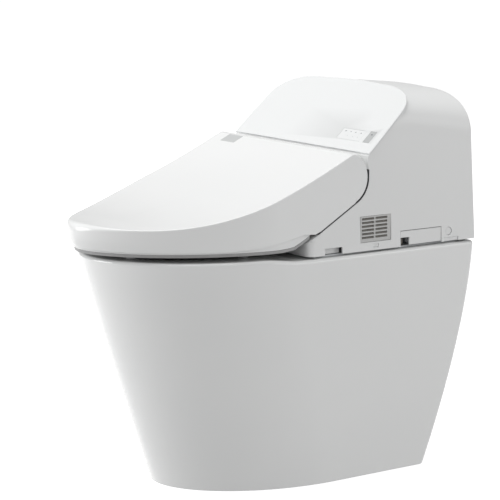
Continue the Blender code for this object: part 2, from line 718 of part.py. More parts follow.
def toothed(tip, root, teeth, width, start=0.0):
    """A wheel with straight-sided teeth; width is a tooth's share of the pitch at its middle."""
    points = []
    step = 2 * pi / teeth
    for tooth in range(teeth):
        middle = start + step * tooth
        for share, reach in ((-0.62, root), (-0.36, tip), (0.36, tip), (0.62, root)):
            turn = middle + step * width * share
            points.append((reach * cos(turn), reach * sin(turn)))
    return points


def make_nozzle():
    frame = bpy.data.objects.new("nozzle_frame", None)
    parts.objects.link(frame)
    frame.location = (0, 0, NOZZLE_Z)
    frame.rotation_euler = (NOZZLE_TILT, 0, 0)
    more = {"parent": frame}
    pitch = pi * GEAR_MODULE
    root_x, tip_x = -0.0070, -0.0087

    outline = [(0.0068, 0.162), (-0.0069, 0.162)]
    for k in range(33, -2, -1):
        middle = GEAR_Y + k * pitch
        if middle > 0.159:
            continue
        outline += [(root_x, middle + 0.00075), (tip_x, middle + 0.00035)]
        outline += [(tip_x, middle - 0.00035), (root_x, middle - 0.00075)]
    outline += [(-0.0069, 0.004), (0.0068, 0.004)]
    wand = plate("wash_nozzle", outline, -0.0025, 0.0025, material=SEAT_WHITE, **more)
    tube_front, tube_rear = -0.0066, 0.163
    middle = (0, (tube_front + tube_rear) / 2, 0)
    bar = rod("wand_tube", middle, "Y", 0.0068, tube_rear - tube_front, sides=16, helper=True, **more)
    boolean(wand, bar, "UNION")
    for k in range(3):
        jet = rod(f"jet_{k}", (0, 0.010 + 0.006 * k, 0.007), "Z", 0.0010, 0.004, sides=8, helper=True, **more)
        boolean(wand, jet)

    outline = toothed(0.0087, 0.0066, GEAR_TEETH, 0.42, pi / GEAR_TEETH)
    gear = plate("nozzle_gear", outline, -0.0025, 0.0025, material=PALE_GREY, **more)
    gear.location = (GEAR_X, GEAR_Y, 0)
    bore = rod("gear_bore", (GEAR_X, GEAR_Y, 0), "Z", 0.0023, 0.02, sides=16, helper=True, **more)
    boolean(gear, bore)
    motor = rod("nozzle_motor", (GEAR_X, GEAR_Y, -0.0125), "Z", 0.0088, 0.0185, STEEL, 24, **more)
    shaft = rod("motor_shaft", (GEAR_X, GEAR_Y, -0.004), "Z", 0.0019, 0.014, sides=12, helper=True, **more)
    boolean(motor, shaft, "UNION")

    cradle = block("nozzle_cradle", (-0.012, 0.030, -0.0103), (0.010, 0.150, 0.0080), PALE_GREY, **more)
    channel = block("cradle_channel", (-0.0092, 0.02, -0.0072), (0.0072, 0.16, 0.02), helper=True, **more)
    window = block("gear_window", (-0.03, 0.0465, -0.02), (-0.0064, 0.0695, 0.02), helper=True, **more)
    boolean(cradle, channel)
    boolean(cradle, window)


def make_nozzle_shield():
    """The plate on the wand's tip that closes the mouth when the wand is drawn in."""
    low, high = (-0.0180, COVER_FRONT, 0.4040), (0.0180, COVER_FRONT + 0.0025, 0.4176)
    block("nozzle_shield", low, high, PLASTIC_WHITE, 0.0008)


# Dryer and deodoriser


def make_dryer():
    frame = bpy.data.objects.new("dryer_frame", None)
    parts.objects.link(frame)
    frame.location = (0, 0, NOZZLE_Z)
    frame.rotation_euler = (NOZZLE_TILT, 0, 0)
    duct = block("dryer_duct", (0.034, 0.004, -0.0050), (0.070, 0.112, 0.0095), PALE_GREY, parent=frame)
    bore = block("duct_bore", (0.036, -0.01, -0.0030), (0.068, 0.13, 0.0075), helper=True, parent=frame)
    boolean(duct, bore)

    centre = (0.052, 0.1440, 0.4560)
    case = rod("dryer_case", centre, "X", 0.0330, 0.032, PALE_GREY, 32)
    scroll = rod("case_hollow", (0.056, *centre[1:]), "X", 0.0305, 0.036, sides=32, helper=True)
    boolean(case, scroll)
    mouth = block("case_mouth", (0.040, 0.100, 0.4590), (0.066, 0.135, 0.4700), helper=True)
    boolean(case, mouth)
    outline = toothed(0.0265, 0.0120, 16, 0.30)
    fan = plate("dryer_fan", outline, -0.010, 0.010, "YZ", DARK_GREY)
    fan.location = (0.053, *centre[1:])
    motor = rod("dryer_motor", (0.0805, *centre[1:]), "X", 0.0150, 0.024, STEEL, 24)
    shaft = rod("dryer_shaft", (0.067, *centre[1:]), "X", 0.0020, 0.007, sides=12, helper=True)
    boolean(motor, shaft, "UNION")

    flap_z = 0.4172
    low, high = (0.0334, COVER_FRONT, 0.4040), (0.0706, COVER_FRONT + 0.0022, flap_z)
    block("dryer_flap", low, high, PLASTIC_WHITE, 0.0006)

    outline = toothed(0.0165, 0.0060, 9, 0.36)
    fan = plate("deodoriser_fan", outline, -0.006, 0.006, "YZ", DARK_GREY)
    fan.location = (0.1500, 0.1255, 0.4375)
    rod("deodoriser_motor", (0.1330, 0.1255, 0.4375), "X", 0.0110, 0.021, STEEL, 24)


# Water, power and flushing


def make_services():
    low = BASE_Z + GAP
    block("heater_tank", (-0.112, 0.125, low), (-0.038, 0.195, 0.485), PALE_GREY, 0.004)
    block("valve_block", (-0.168, 0.196, low), (-0.120, 0.236, 0.446), BRASS, 0.002)
    inlet = rod("water_inlet", (-0.1842, 0.2230, 0.4250), "X", 0.0100, 0.0305, BRASS, 24)
    boolean(inlet, rod("inlet_bore", (-0.1842, 0.2230, 0.4250), "X", 0.0060, 0.05, sides=24, helper=True))
    gland = rod("power_gland", (-0.1860, 0.1930, 0.4250), "X", 0.0075, 0.0270, DARK_GREY, 20)
    boolean(gland, rod("gland_bore", (-0.2000, 0.1930, 0.4250), "X", 0.0038, 0.02, sides=16, helper=True))
    block("power_module", (0.090, 0.200, low), (0.140, 0.240, 0.450), DARK_GREY, 0.002)
    block("control_board", (0.030, 0.2000, 0.490), (0.150, 0.2016, 0.560), BOARD_GREEN)
    block("board_bracket", (0.035, 0.2022, low), (0.080, 0.2052, 0.550), STEEL)


def make_flushing():
    low = BASE_Z + GAP
    tank = block("flush_tank", (-0.165, 0.245, low), (0.055, 0.332, 0.590), PALE_GREY, 0.004)
    boolean(tank, block("tank_hollow", (-0.162, 0.248, low + 0.003), (0.052, 0.329, 0.62), helper=True))
    rod("fill_valve", (-0.125, 0.2885, 0.4950), "Z", 0.0110, 0.175, PLASTIC_WHITE, 20)
    ball = rod("tank_float", (-0.125, 0.2885, 0.4400), "Z", 0.0300, 0.034, PALE_GREY, 28, edge=0.004)
    boolean(ball, rod("float_bore", (-0.125, 0.2885, 0.4400), "Z", 0.0122, 0.06, sides=20, helper=True))
    tank_pump = rod("flush_pump", (0.105, 0.2900, 0.4470), "Z", 0.0320, 0.090, DARK_GREY, 28, edge=0.003)
    spout = rod("pump_spout", (0.070, 0.2900, 0.4150), "X", 0.0080, 0.026, sides=16, helper=True)
    boolean(tank_pump, spout, "UNION")


make_bowl()
make_drain()
make_floor_fixings()
make_lid()
make_lid_fittings()
make_lid_sensor()
make_seat()
make_seat_buffers()
make_hinge_units()
make_housing()
make_panel()
make_side_fittings()
make_nozzle()
make_nozzle_shield()
make_dryer()
make_services()
make_flushing()
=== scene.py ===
from math import atan2, cos, pi, radians, sin, sqrt, tan

import bmesh
import bpy
from mathutils import Matrix, Vector


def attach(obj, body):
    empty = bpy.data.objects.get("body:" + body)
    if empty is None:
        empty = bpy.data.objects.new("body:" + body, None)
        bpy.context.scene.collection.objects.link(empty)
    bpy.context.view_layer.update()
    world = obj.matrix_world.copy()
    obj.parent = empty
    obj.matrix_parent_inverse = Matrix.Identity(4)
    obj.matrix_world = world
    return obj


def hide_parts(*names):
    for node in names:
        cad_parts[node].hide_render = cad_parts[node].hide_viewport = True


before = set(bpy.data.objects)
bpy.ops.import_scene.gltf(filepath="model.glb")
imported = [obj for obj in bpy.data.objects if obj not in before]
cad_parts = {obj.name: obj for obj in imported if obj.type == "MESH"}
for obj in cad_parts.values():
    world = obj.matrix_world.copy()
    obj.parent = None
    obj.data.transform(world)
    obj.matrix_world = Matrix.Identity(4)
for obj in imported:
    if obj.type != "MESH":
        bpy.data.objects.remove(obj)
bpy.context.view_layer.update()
print("frame loaded:", len(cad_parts), "parts")

# helpers that several pieces use


def smoothStep(t, low=0.0, high=1.0):
    t = min(max((t - low) / (high - low), 0), 1)
    return t * t * (3 - 2 * t)


def mix(a, b, t):
    return a + (b - a) * t


def along(points, t):
    # a value read from a list of (place, value) pairs
    for (p, a), (q, b) in zip(points, points[1:]):
        if t <= q:
            return mix(a, b, max(t - p, 0) / (q - p))
    return points[-1][1]


def sheetOf(columns, rows, place):
    # a plain grid whose points are then moved to where place() says
    bm = bmesh.new()
    bmesh.ops.create_grid(bm, x_segments=columns, y_segments=rows, size=0.5)
    for vert in bm.verts:
        vert.co = place(round((vert.co.x + 0.5) * columns), round((vert.co.y + 0.5) * rows))
    return bm


def faced(bm, axis):
    # an open sheet, turned over if its first face looks down the axis
    bmesh.ops.recalc_face_normals(bm, faces=bm.faces)
    if bm.faces[:][0].normal[axis] < 0:
        bmesh.ops.reverse_faces(bm, faces=bm.faces)


def closeUp(bm):
    bmesh.ops.remove_doubles(bm, verts=bm.verts, dist=2e-5)
    bmesh.ops.dissolve_degenerate(bm, edges=bm.edges, dist=1e-6)
    bmesh.ops.recalc_face_normals(bm, faces=bm.faces)
    return bm


def mirrored(bm):
    bmesh.ops.mirror(bm, geom=bm.verts[:] + bm.edges[:] + bm.faces[:], axis="X", merge_dist=2e-5)
    return closeUp(bm)


def roundEdges(bm, edges, width, segments=3):
    return bmesh.ops.bevel(
        bm, geom=list(edges), offset=width, offset_type="OFFSET", segments=segments,
        profile=0.5, affect="EDGES", material=-1, clamp_overlap=True,
    )


def slab(low, high, edge=0.0, segments=3):
    bm = bmesh.new()
    bmesh.ops.create_cube(bm, size=1)
    size = [b - a for a, b in zip(low, high)]
    bmesh.ops.scale(bm, vec=size, verts=bm.verts)
    bmesh.ops.translate(bm, vec=[(a + b) / 2 for a, b in zip(low, high)], verts=bm.verts)
    if edge:
        roundEdges(bm, bm.edges, edge, segments)
    return bm


def turned(profile, steps=48, axis="Z", centre=(0, 0, 0)):
    # spins a half outline of (radius, height) pairs round an axis
    bm = bmesh.new()
    verts = [bm.verts.new((r, 0, h)) for r, h in profile]
    edges = [bm.edges.new(pair) for pair in zip(verts, verts[1:])]
    bmesh.ops.spin(
        bm, geom=verts + edges, cent=(0, 0, 0), axis=(0, 0, 1), dvec=(0, 0, 0),
        angle=2 * pi, steps=steps, use_merge=True,
    )
    closeUp(bm)
    if axis == "X":
        bmesh.ops.rotate(bm, cent=(0, 0, 0), matrix=Matrix.Rotation(pi / 2, 3, "Y"), verts=bm.verts)
    bmesh.ops.translate(bm, vec=centre, verts=bm.verts)
    return bm


def outlined(points, depth, edge=0.0, segments=3, inner=0.0):
    # a flat outline in X and Y, made a plate from 0 down to -depth, its upper edge rounded
    bm = bmesh.new()
    bmesh.ops.create_circle(bm, cap_ends=True, segments=len(points), radius=1)
    bm.verts.ensure_lookup_table()
    for vert, (x, y) in zip(bm.verts, points):
        vert.co = (x, y, 0)
    faced(bm, 2)
    top = bm.faces[:][0]
    made = bmesh.ops.extrude_face_region(bm, geom=[top])
    upper = [g for g in made["geom"] if isinstance(g, bmesh.types.BMVert)]
    bmesh.ops.translate(bm, vec=(0, 0, -depth), verts=[v for v in bm.verts if v not in upper])
    if edge:
        roundEdges(bm, [e for e in bm.edges if all(v.co.z > -1e-6 for v in e.verts)], edge, segments)
    if inner:
        cap = max((f for f in bm.faces if f.normal.z > 0.99), key=lambda f: f.calc_area())
        bmesh.ops.inset_region(bm, faces=[cap], thickness=inner, use_even_offset=True)
    bmesh.ops.recalc_face_normals(bm, faces=bm.faces)
    return bm


def joined(*meshes):
    whole = bmesh.new()
    for bm in meshes:
        part = bpy.data.meshes.new("part")
        bm.to_mesh(part)
        bm.free()
        whole.from_mesh(part)
        bpy.data.meshes.remove(part)
    return whole


def newObject(name, bm):
    mesh = bpy.data.meshes.new(name)
    bm.to_mesh(mesh)
    bm.free()
    obj = bpy.data.objects.new(name, mesh)
    bpy.context.scene.collection.objects.link(obj)
    return obj


def settle(obj):
    # what the modifiers make becomes the object's own mesh
    evaluated = obj.evaluated_get(bpy.context.evaluated_depsgraph_get())
    mesh = bpy.data.meshes.new_from_object(evaluated)
    obj.modifiers.clear()
    old, obj.data = obj.data, mesh
    bpy.data.meshes.remove(old)
    mesh.name = obj.name


def cutAway(obj, *cutters):
    for bm in cutters:
        helper = newObject("cutter", bm)
        modifier = obj.modifiers.new("cut", "BOOLEAN")
        modifier.operation = "DIFFERENCE"
        modifier.object = helper
        modifier.solver = "EXACT"
        bpy.context.view_layer.update()
        settle(obj)
        bpy.data.objects.remove(helper, do_unlink=True)


def thicken(obj, thickness):
    modifier = obj.modifiers.new("wall", "SOLIDIFY")
    modifier.thickness = thickness
    modifier.offset = -1
    bpy.context.view_layer.update()
    settle(obj)


def dress(obj, material, body, replaced=(), sharp=40):
    # smooth shading, finish, the body it rides on and the nodes it stands for
    mesh = obj.data
    for polygon in mesh.polygons:
        polygon.use_smooth = True
    mesh.set_sharp_from_angle(angle=radians(sharp))
    mesh.materials.clear()
    mesh.materials.append(material)
    weights = obj.modifiers.new("normals", "WEIGHTED_NORMAL")
    weights.keep_sharp = True
    bpy.context.view_layer.update()
    settle(obj)
    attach(obj, body)
    if replaced:
        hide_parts(*replaced)
    return obj


# finishes


def newGroup(name, inputs, outputs):
    group = bpy.data.node_groups.new(name, "ShaderNodeTree")
    for label, kind, value in inputs:
        socket = group.interface.new_socket(label, in_out="INPUT", socket_type=kind)
        socket.default_value = value
    for label, kind in outputs:
        group.interface.new_socket(label, in_out="OUTPUT", socket_type=kind)
    start = group.nodes.new("NodeGroupInput")
    end = group.nodes.new("NodeGroupOutput")
    return group, start, end


def addNode(tree, kind, links=(), **values):
    node = tree.nodes.new(kind)
    for key, value in values.items():
        setattr(node, key, value)
    for socket, source in links:
        if isinstance(source, bpy.types.NodeSocket):
            tree.links.new(source, node.inputs[socket])
        else:
            node.inputs[socket].default_value = source
    return node


def makeGrainGroup():
    # a fine moulding grain with a slow, cloudy change under it
    group, start, end = newGroup(
        "mouldGrain",
        [("Grain Scale", "NodeSocketFloat", 900.0), ("Cloud Scale", "NodeSocketFloat", 7.0)],
        [("Grain", "NodeSocketFloat"), ("Cloud", "NodeSocketFloat")],
    )
    place = addNode(group, "ShaderNodeTexCoord")
    fine = addNode(group, "ShaderNodeTexNoise", [
        ("Vector", place.outputs["Object"]), ("Scale", start.outputs["Grain Scale"]), ("Detail", 3.0),
    ])
    slow = addNode(group, "ShaderNodeTexNoise", [
        ("Vector", place.outputs["Object"]), ("Scale", start.outputs["Cloud Scale"]), ("Detail", 4.0),
    ])
    group.links.new(fine.outputs["Fac"], end.inputs["Grain"])
    group.links.new(slow.outputs["Fac"], end.inputs["Cloud"])
    return group


def makeEdgeGroup():
    # 0 on flats, towards 1 on outer edges that hands and cloths rub; a second output runs towards 1 in
    # hollows and creases, where shade is painted
    group, start, end = newGroup(
        "edgeRubAndCreviceShade",
        [("Reach", "NodeSocketFloat", 0.08), ("Patch Scale", "NodeSocketFloat", 60.0)],
        [("Mask", "NodeSocketFloat"), ("Crevice Shade", "NodeSocketFloat")],
    )
    surface = addNode(group, "ShaderNodeNewGeometry")
    place = addNode(group, "ShaderNodeTexCoord")
    high = addNode(group, "ShaderNodeMath", [(0, 0.5), (1, start.outputs["Reach"])], operation="ADD")
    byPointiness = addNode(group, "ShaderNodeMapRange", [
        ("Value", surface.outputs["Pointiness"]), ("From Min", 0.53), ("From Max", high.outputs[0]),
    ])
    # hollows and creases, where the finishes paint shade
    low = addNode(group, "ShaderNodeMath", [(0, 0.5), (1, start.outputs["Reach"])], operation="SUBTRACT")
    hollow = addNode(group, "ShaderNodeMapRange", [
        ("Value", surface.outputs["Pointiness"]), ("From Min", 0.465), ("From Max", low.outputs[0]),
    ])
    patch = addNode(group, "ShaderNodeTexNoise", [
        ("Vector", place.outputs["Object"]), ("Scale", start.outputs["Patch Scale"]), ("Detail", 5.0),
    ])
    broken = addNode(group, "ShaderNodeMapRange", [
        ("Value", patch.outputs["Fac"]), ("From Min", 0.35), ("From Max", 0.7),
    ])
    mask = addNode(group, "ShaderNodeMath", [
        (0, byPointiness.outputs[0]), (1, broken.outputs[0]),
    ], operation="MULTIPLY")
    group.links.new(mask.outputs[0], end.inputs["Mask"])
    group.links.new(hollow.outputs[0], end.inputs["Crevice Shade"])
    return group


def makeDustGroup():
    # a thin uneven film on faces that look up
    group, start, end = newGroup(
        "settledDust",
        [("Amount", "NodeSocketFloat", 0.2), ("Patch Scale", "NodeSocketFloat", 25.0)],
        [("Mask", "NodeSocketFloat")],
    )
    surface = addNode(group, "ShaderNodeNewGeometry")
    place = addNode(group, "ShaderNodeTexCoord")
    split = addNode(group, "ShaderNodeSeparateXYZ", [("Vector", surface.outputs["Normal"])])
    up = addNode(group, "ShaderNodeMapRange", [
        ("Value", split.outputs["Z"]), ("From Min", 0.4), ("From Max", 1.0),
    ])
    patch = addNode(group, "ShaderNodeTexNoise", [
        ("Vector", place.outputs["Object"]), ("Scale", start.outputs["Patch Scale"]), ("Detail", 6.0),
    ])
    both = addNode(group, "ShaderNodeMath", [
        (0, up.outputs[0]), (1, patch.outputs["Fac"]),
    ], operation="MULTIPLY")
    most = addNode(group, "ShaderNodeMath", [
        (0, both.outputs[0]), (1, start.outputs["Amount"]),
    ], operation="MULTIPLY")
    group.links.new(most.outputs[0], end.inputs["Mask"])
    return group


grainGroup, edgeGroup, dustGroup = makeGrainGroup(), makeEdgeGroup(), makeDustGroup()

finishValues = {
    # colour, shade it drifts to, roughness, how far that drifts, metal, grain scale, grain depth
    "ceramicGlaze": ((0.86, 0.865, 0.86), (0.83, 0.838, 0.836), 0.07, 0.05, 0, 55, 0.02),
    "lidGloss": ((0.895, 0.90, 0.897), (0.87, 0.877, 0.875), 0.20, 0.06, 0, 1500, 0.02),
    "housingSatin": ((0.86, 0.865, 0.862), (0.835, 0.842, 0.84), 0.27, 0.07, 0, 1400, 0.03),
    "panelGloss": ((0.79, 0.80, 0.80), (0.77, 0.78, 0.78), 0.50, 0.06, 0, 1500, 0.015),
    "grillePaint": ((0.60, 0.60, 0.59), (0.53, 0.53, 0.52), 0.42, 0.10, 0, 1100, 0.06),
    "softGrey": ((0.62, 0.64, 0.65), (0.56, 0.58, 0.59), 0.38, 0.10, 0, 1100, 0.05),
    "smokeGrey": ((0.50, 0.51, 0.51), (0.45, 0.46, 0.46), 0.18, 0.05, 0, 1500, 0.01),
    "displayGrey": ((0.80, 0.81, 0.81), (0.78, 0.79, 0.79), 0.15, 0.05, 0, 1500, 0.01),
    "clearGrey": ((0.60, 0.61, 0.61), (0.56, 0.57, 0.57), 0.15, 0.05, 0, 1500, 0.01),
    "darkPlastic": ((0.055, 0.055, 0.06), (0.035, 0.035, 0.04), 0.48, 0.12, 0, 900, 0.10),
    # a dark grey for the seat's lower tray, painted shade for the gap under the seat
    "trayShadeGrey": ((0.40, 0.40, 0.40), (0.35, 0.35, 0.35), 0.50, 0.10, 0, 900, 0.06),
    # a dark grey-brown painted as the shade inside slots and recesses
    "recessShadeGrey": ((0.30, 0.28, 0.25), (0.22, 0.21, 0.19), 0.50, 0.12, 0, 900, 0.08),
    "greyRubber": ((0.42, 0.42, 0.42), (0.34, 0.34, 0.34), 0.72, 0.12, 0, 700, 0.15),
    "brushedSteel": ((0.62, 0.62, 0.63), (0.50, 0.50, 0.51), 0.30, 0.14, 1, 600, 0.06),
    "castBrass": ((0.74, 0.56, 0.28), (0.60, 0.42, 0.19), 0.34, 0.16, 1, 420, 0.12),
    "boardGreen": ((0.03, 0.17, 0.08), (0.02, 0.11, 0.05), 0.42, 0.12, 0, 260, 0.08),
    "heaterFoil": ((0.76, 0.66, 0.48), (0.66, 0.55, 0.38), 0.34, 0.16, 1, 320, 0.20),
    "iconInk": ((0.10, 0.11, 0.12), (0.07, 0.08, 0.09), 0.55, 0.05, 0, 1500, 0.02),
    "lampDot": ((0.50, 0.52, 0.53), (0.44, 0.46, 0.47), 0.25, 0.05, 0, 1500, 0.01),
}
coatValues = {"ceramicGlaze": 0.6, "lidGloss": 0.25, "smokeGrey": 0.5, "clearGrey": 0.5}


def makeFinish(name):
    colour, drift, roughness, spread, metal, grainScale, grainDepth = finishValues[name]
    material = bpy.data.materials.new(name)
    material.use_nodes = True
    tree = material.node_tree
    shader = tree.nodes["Principled BSDF"]
    shader.inputs["Metallic"].default_value = metal
    shader.inputs["IOR"].default_value = 1.5
    if name in coatValues:
        shader.inputs["Coat Weight"].default_value = coatValues[name]
        shader.inputs["Coat Roughness"].default_value = 0.04
    grain = addNode(tree, "ShaderNodeGroup", node_tree=grainGroup)
    grain.inputs["Grain Scale"].default_value = grainScale
    byPointiness = addNode(tree, "ShaderNodeGroup", node_tree=edgeGroup)
    dust = addNode(tree, "ShaderNodeGroup", node_tree=dustGroup)
    dust.inputs["Amount"].default_value = 0.04 if sum(colour) > 1.5 else 0.14
    base = addNode(tree, "ShaderNodeMix", [
        (0, grain.outputs["Cloud"]), (6, (*colour, 1)), (7, (*drift, 1)),
    ], data_type="RGBA")
    lighter = [min(c * 1.06 + 0.01, max(c + 0.008, 0.60)) for c in colour]
    worn = addNode(tree, "ShaderNodeMix", [
        (0, byPointiness.outputs["Mask"]), (6, base.outputs[2]), (7, (*lighter, 1)),
    ], data_type="RGBA")
    # painted shade: hollows and creases are mixed up to half way towards a darker tone
    darker = [c * 0.72 for c in drift]
    creviceShade = addNode(tree, "ShaderNodeMath", [(0, byPointiness.outputs["Crevice Shade"]), (1, 0.5)], operation="MULTIPLY")
    lined = addNode(tree, "ShaderNodeMix", [
        (0, creviceShade.outputs[0]), (6, worn.outputs[2]), (7, (*darker, 1)),
    ], data_type="RGBA")
    film = addNode(tree, "ShaderNodeMix", [
        (0, dust.outputs["Mask"]), (6, lined.outputs[2]), (7, (0.80, 0.79, 0.77, 1)),
    ], data_type="RGBA")
    tree.links.new(film.outputs[2], shader.inputs["Base Color"])
    rough = addNode(tree, "ShaderNodeMapRange", [
        ("Value", grain.outputs["Cloud"]), ("From Min", 0.3), ("From Max", 0.7),
        ("To Min", roughness), ("To Max", roughness + spread),
    ])
    duller = addNode(tree, "ShaderNodeMath", [
        (0, dust.outputs["Mask"]), (1, 0.35), (2, rough.outputs[0]),
    ], operation="MULTIPLY_ADD")
    tree.links.new(duller.outputs[0], shader.inputs["Roughness"])
    bump = addNode(tree, "ShaderNodeBump", [
        ("Height", grain.outputs["Grain"]), ("Strength", grainDepth), ("Distance", 0.0004),
    ])
    tree.links.new(bump.outputs["Normal"], shader.inputs["Normal"])
    return material


finish = {name: makeFinish(name) for name in finishValues}
print("finishes made:", len(finish))

# the ceramic bowl

bowlSize = {
    "rim": 0.398,  # height of the deck under the housing
    "rise": 0.007,  # how far the rim under the seat stands over it
    "footFront": -0.183,
    "footRear": 0.268,
    "footHalf": 0.163,
    "half": 0.2045,
    "rear": 0.3406,
    "corner": 0.010,
    "wall": 0.012,
}


def noseOutline(front, nose, half, rear, power, corner, counts=(40, 10, 6, 12)):
    # half an outline, from the middle of the nose round the side to the middle of the rear
    noseCount, sideCount, cornerCount, rearCount = counts
    points = []
    for i in range(noseCount + 1):
        turn = pi / 2 * i / noseCount
        points.append((half * sin(turn) ** (2 / power), front + nose - nose * cos(turn) ** (2 / power)))
    for i in range(1, sideCount + 1):
        points.append((half, mix(front + nose, rear - corner, i / sideCount)))
    for i in range(1, cornerCount + 1):
        turn = pi / 2 * i / cornerCount
        points.append((half - corner + corner * cos(turn), rear - corner + corner * sin(turn)))
    for i in range(1, rearCount + 1):
        points.append(((half - corner) * (1 - i / rearCount), rear))
    return points


def bowlOutline(height, inset=0.0):
    b = bowlSize
    s = min(height / b["rim"], 0.99)
    half = b["footHalf"] + (b["half"] - b["footHalf"]) * (1 - (1 - s) ** 1.35) - inset
    front = b["footFront"] - 0.1415 * s + 0.011 * s**2 + inset
    rear = b["footRear"] + (b["rear"] - b["footRear"]) * (1 - (1 - s) ** 1.6) - inset
    corner = max(b["corner"] - inset, 0.004)
    return noseOutline(front, 0.25 + 0.02 * s - inset, half, rear, 1.9, corner)


def rimHeight(y):
    return bowlSize["rim"] + bowlSize["rise"] * (1 - smoothStep(y, -0.100, -0.020))


def bowlRings():
    # rings from the drain up the basin, over the rim, down the outside and back up inside
    basin = [  # height, middle, half width, half length
        (0.190, -0.040, 0.0, 0.0), (0.190, -0.040, 0.022, 0.023), (0.1915, -0.040, 0.034, 0.036),
        (0.197, -0.044, 0.046, 0.049), (0.210, -0.053, 0.058, 0.063), (0.225, -0.062, 0.068, 0.074),
        (0.247, -0.075, 0.083, 0.091), (0.270, -0.088, 0.096, 0.108), (0.295, -0.099, 0.107, 0.122),
        (0.320, -0.108, 0.116, 0.134), (0.345, -0.114, 0.122, 0.142), (0.362, -0.117, 0.1255, 0.1465),
        (0.368, -0.118, 0.1265, 0.148), (0.3715, -0.1185, 0.1255, 0.147), (0.374, -0.119, 0.1215, 0.143),
        (0.379, -0.119, 0.1195, 0.141), (0.388, -0.119, 0.1195, 0.141),
    ]
    top = bowlOutline(0.393)

    def oval(height, middle, half, reach, climb=0.0):
        ring = []
        for x, y in top:
            turn = atan2((y + 0.119) / 0.149, x / 0.126)
            point = (half * cos(turn), middle + reach * sin(turn))
            lift = (rimHeight(point[1]) - bowlSize["rim"] - bowlSize["rise"]) * climb
            ring.append((*point, height + lift))
        return ring

    rings = [oval(z, y, half, reach, smoothStep(z, 0.374, 0.400)) for z, y, half, reach in basin]
    lip = bowlSize["rim"] + bowlSize["rise"]
    for i in range(1, 7):  # the rounded inner lip
        turn = pi / 2 * i / 6
        reach = 0.0125 * (1 - cos(turn))
        rings.append(oval(lip - 0.017 + 0.017 * sin(turn), -0.119, 0.1195 + reach, 0.141 + reach, 1))
    inner, outer = rings[-1], bowlOutline(0.393, 0.0060)
    for share in (0.25, 0.5, 0.75):
        ring = []
        for (x, y, _), (u, v) in zip(inner, outer):
            x, y = mix(x, u, share), mix(y, v, share)
            ring.append((x, y, rimHeight(y)))
        rings.append(ring)
    for i in range(6):  # the rounded outer edge
        turn = pi / 2 * i / 5
        outline = bowlOutline(0.393, 0.0060 * (1 - sin(turn)))
        rings.append([(x, y, rimHeight(y) - 0.0060 * (1 - cos(turn))) for x, y in outline])
    for i in range(1, 27):
        height = 0.390 * (1 - i / 26) + 0.0015
        rings.append([(x, y, height) for x, y in bowlOutline(height)])
    rings.append([(x, y, 0.0004) for x, y in bowlOutline(0.0, 0.0006)])
    rings.append([(x, y, 0.0) for x, y in bowlOutline(0.0, 0.0020)])
    rings.append([(x, y, 0.0) for x, y in bowlOutline(0.0, bowlSize["wall"])])
    for height in (0.08, 0.16, 0.24, 0.31, 0.372):
        rings.append([(x, y, height) for x, y in bowlOutline(height, bowlSize["wall"])])
    rings.append(oval(0.366, -0.119, 0.139, 0.160))
    for z, y, half, reach in ((0.320, -0.108, 0.127, 0.145), (0.270, -0.088, 0.107, 0.119),
                              (0.225, -0.062, 0.079, 0.085), (0.190, -0.040, 0.050, 0.052),
                              (0.179, -0.040, 0.038, 0.040), (0.179, -0.040, 0.0, 0.0)):
        rings.append(oval(z, y, half, reach))
    return rings


def makeBowl():
    rings = bowlRings()
    bm = sheetOf(len(rings) - 1, len(rings[0]) - 1, lambda column, row: rings[column][row])
    bowl = newObject("bowlBody", mirrored(bm))
    dress(bowl, finish["ceramicGlaze"], "root", ["ceramic_bowl"], sharp=60)


makeBowl()
print("bowl made")

# the lid

lidSize = {
    "hinge": (0.065, 0.525),
    "barrel": 0.0455,
    "half": 0.1965,
    "front": -0.3406,
    "nose": 0.268,
    "power": 1.68,
    "curl": 0.007,  # how far the skirt's lower edge turns in at the nose
    "wall": 0.0035,
    "edge": 0.0020,  # radius where the top turns down into the side
    "noseEdge": 0.013,  # the same at the nose
    "crown": 0.0040,
    "skirt": 0.4222,
    "cheekY": 0.0755,
}


def lidTop(y):
    u = max(y + 0.3406, 0)
    return 0.4646 - 0.162 * u + 1.371 * u**2 - 0.983 * u**3


def underHinge(y, distance):
    # height of the line that climbs at 30 degrees and passes this far under the hinge
    hingeY, hingeZ = lidSize["hinge"]
    return hingeZ - distance / cos(radians(30)) + (y - hingeY) * tan(radians(30))


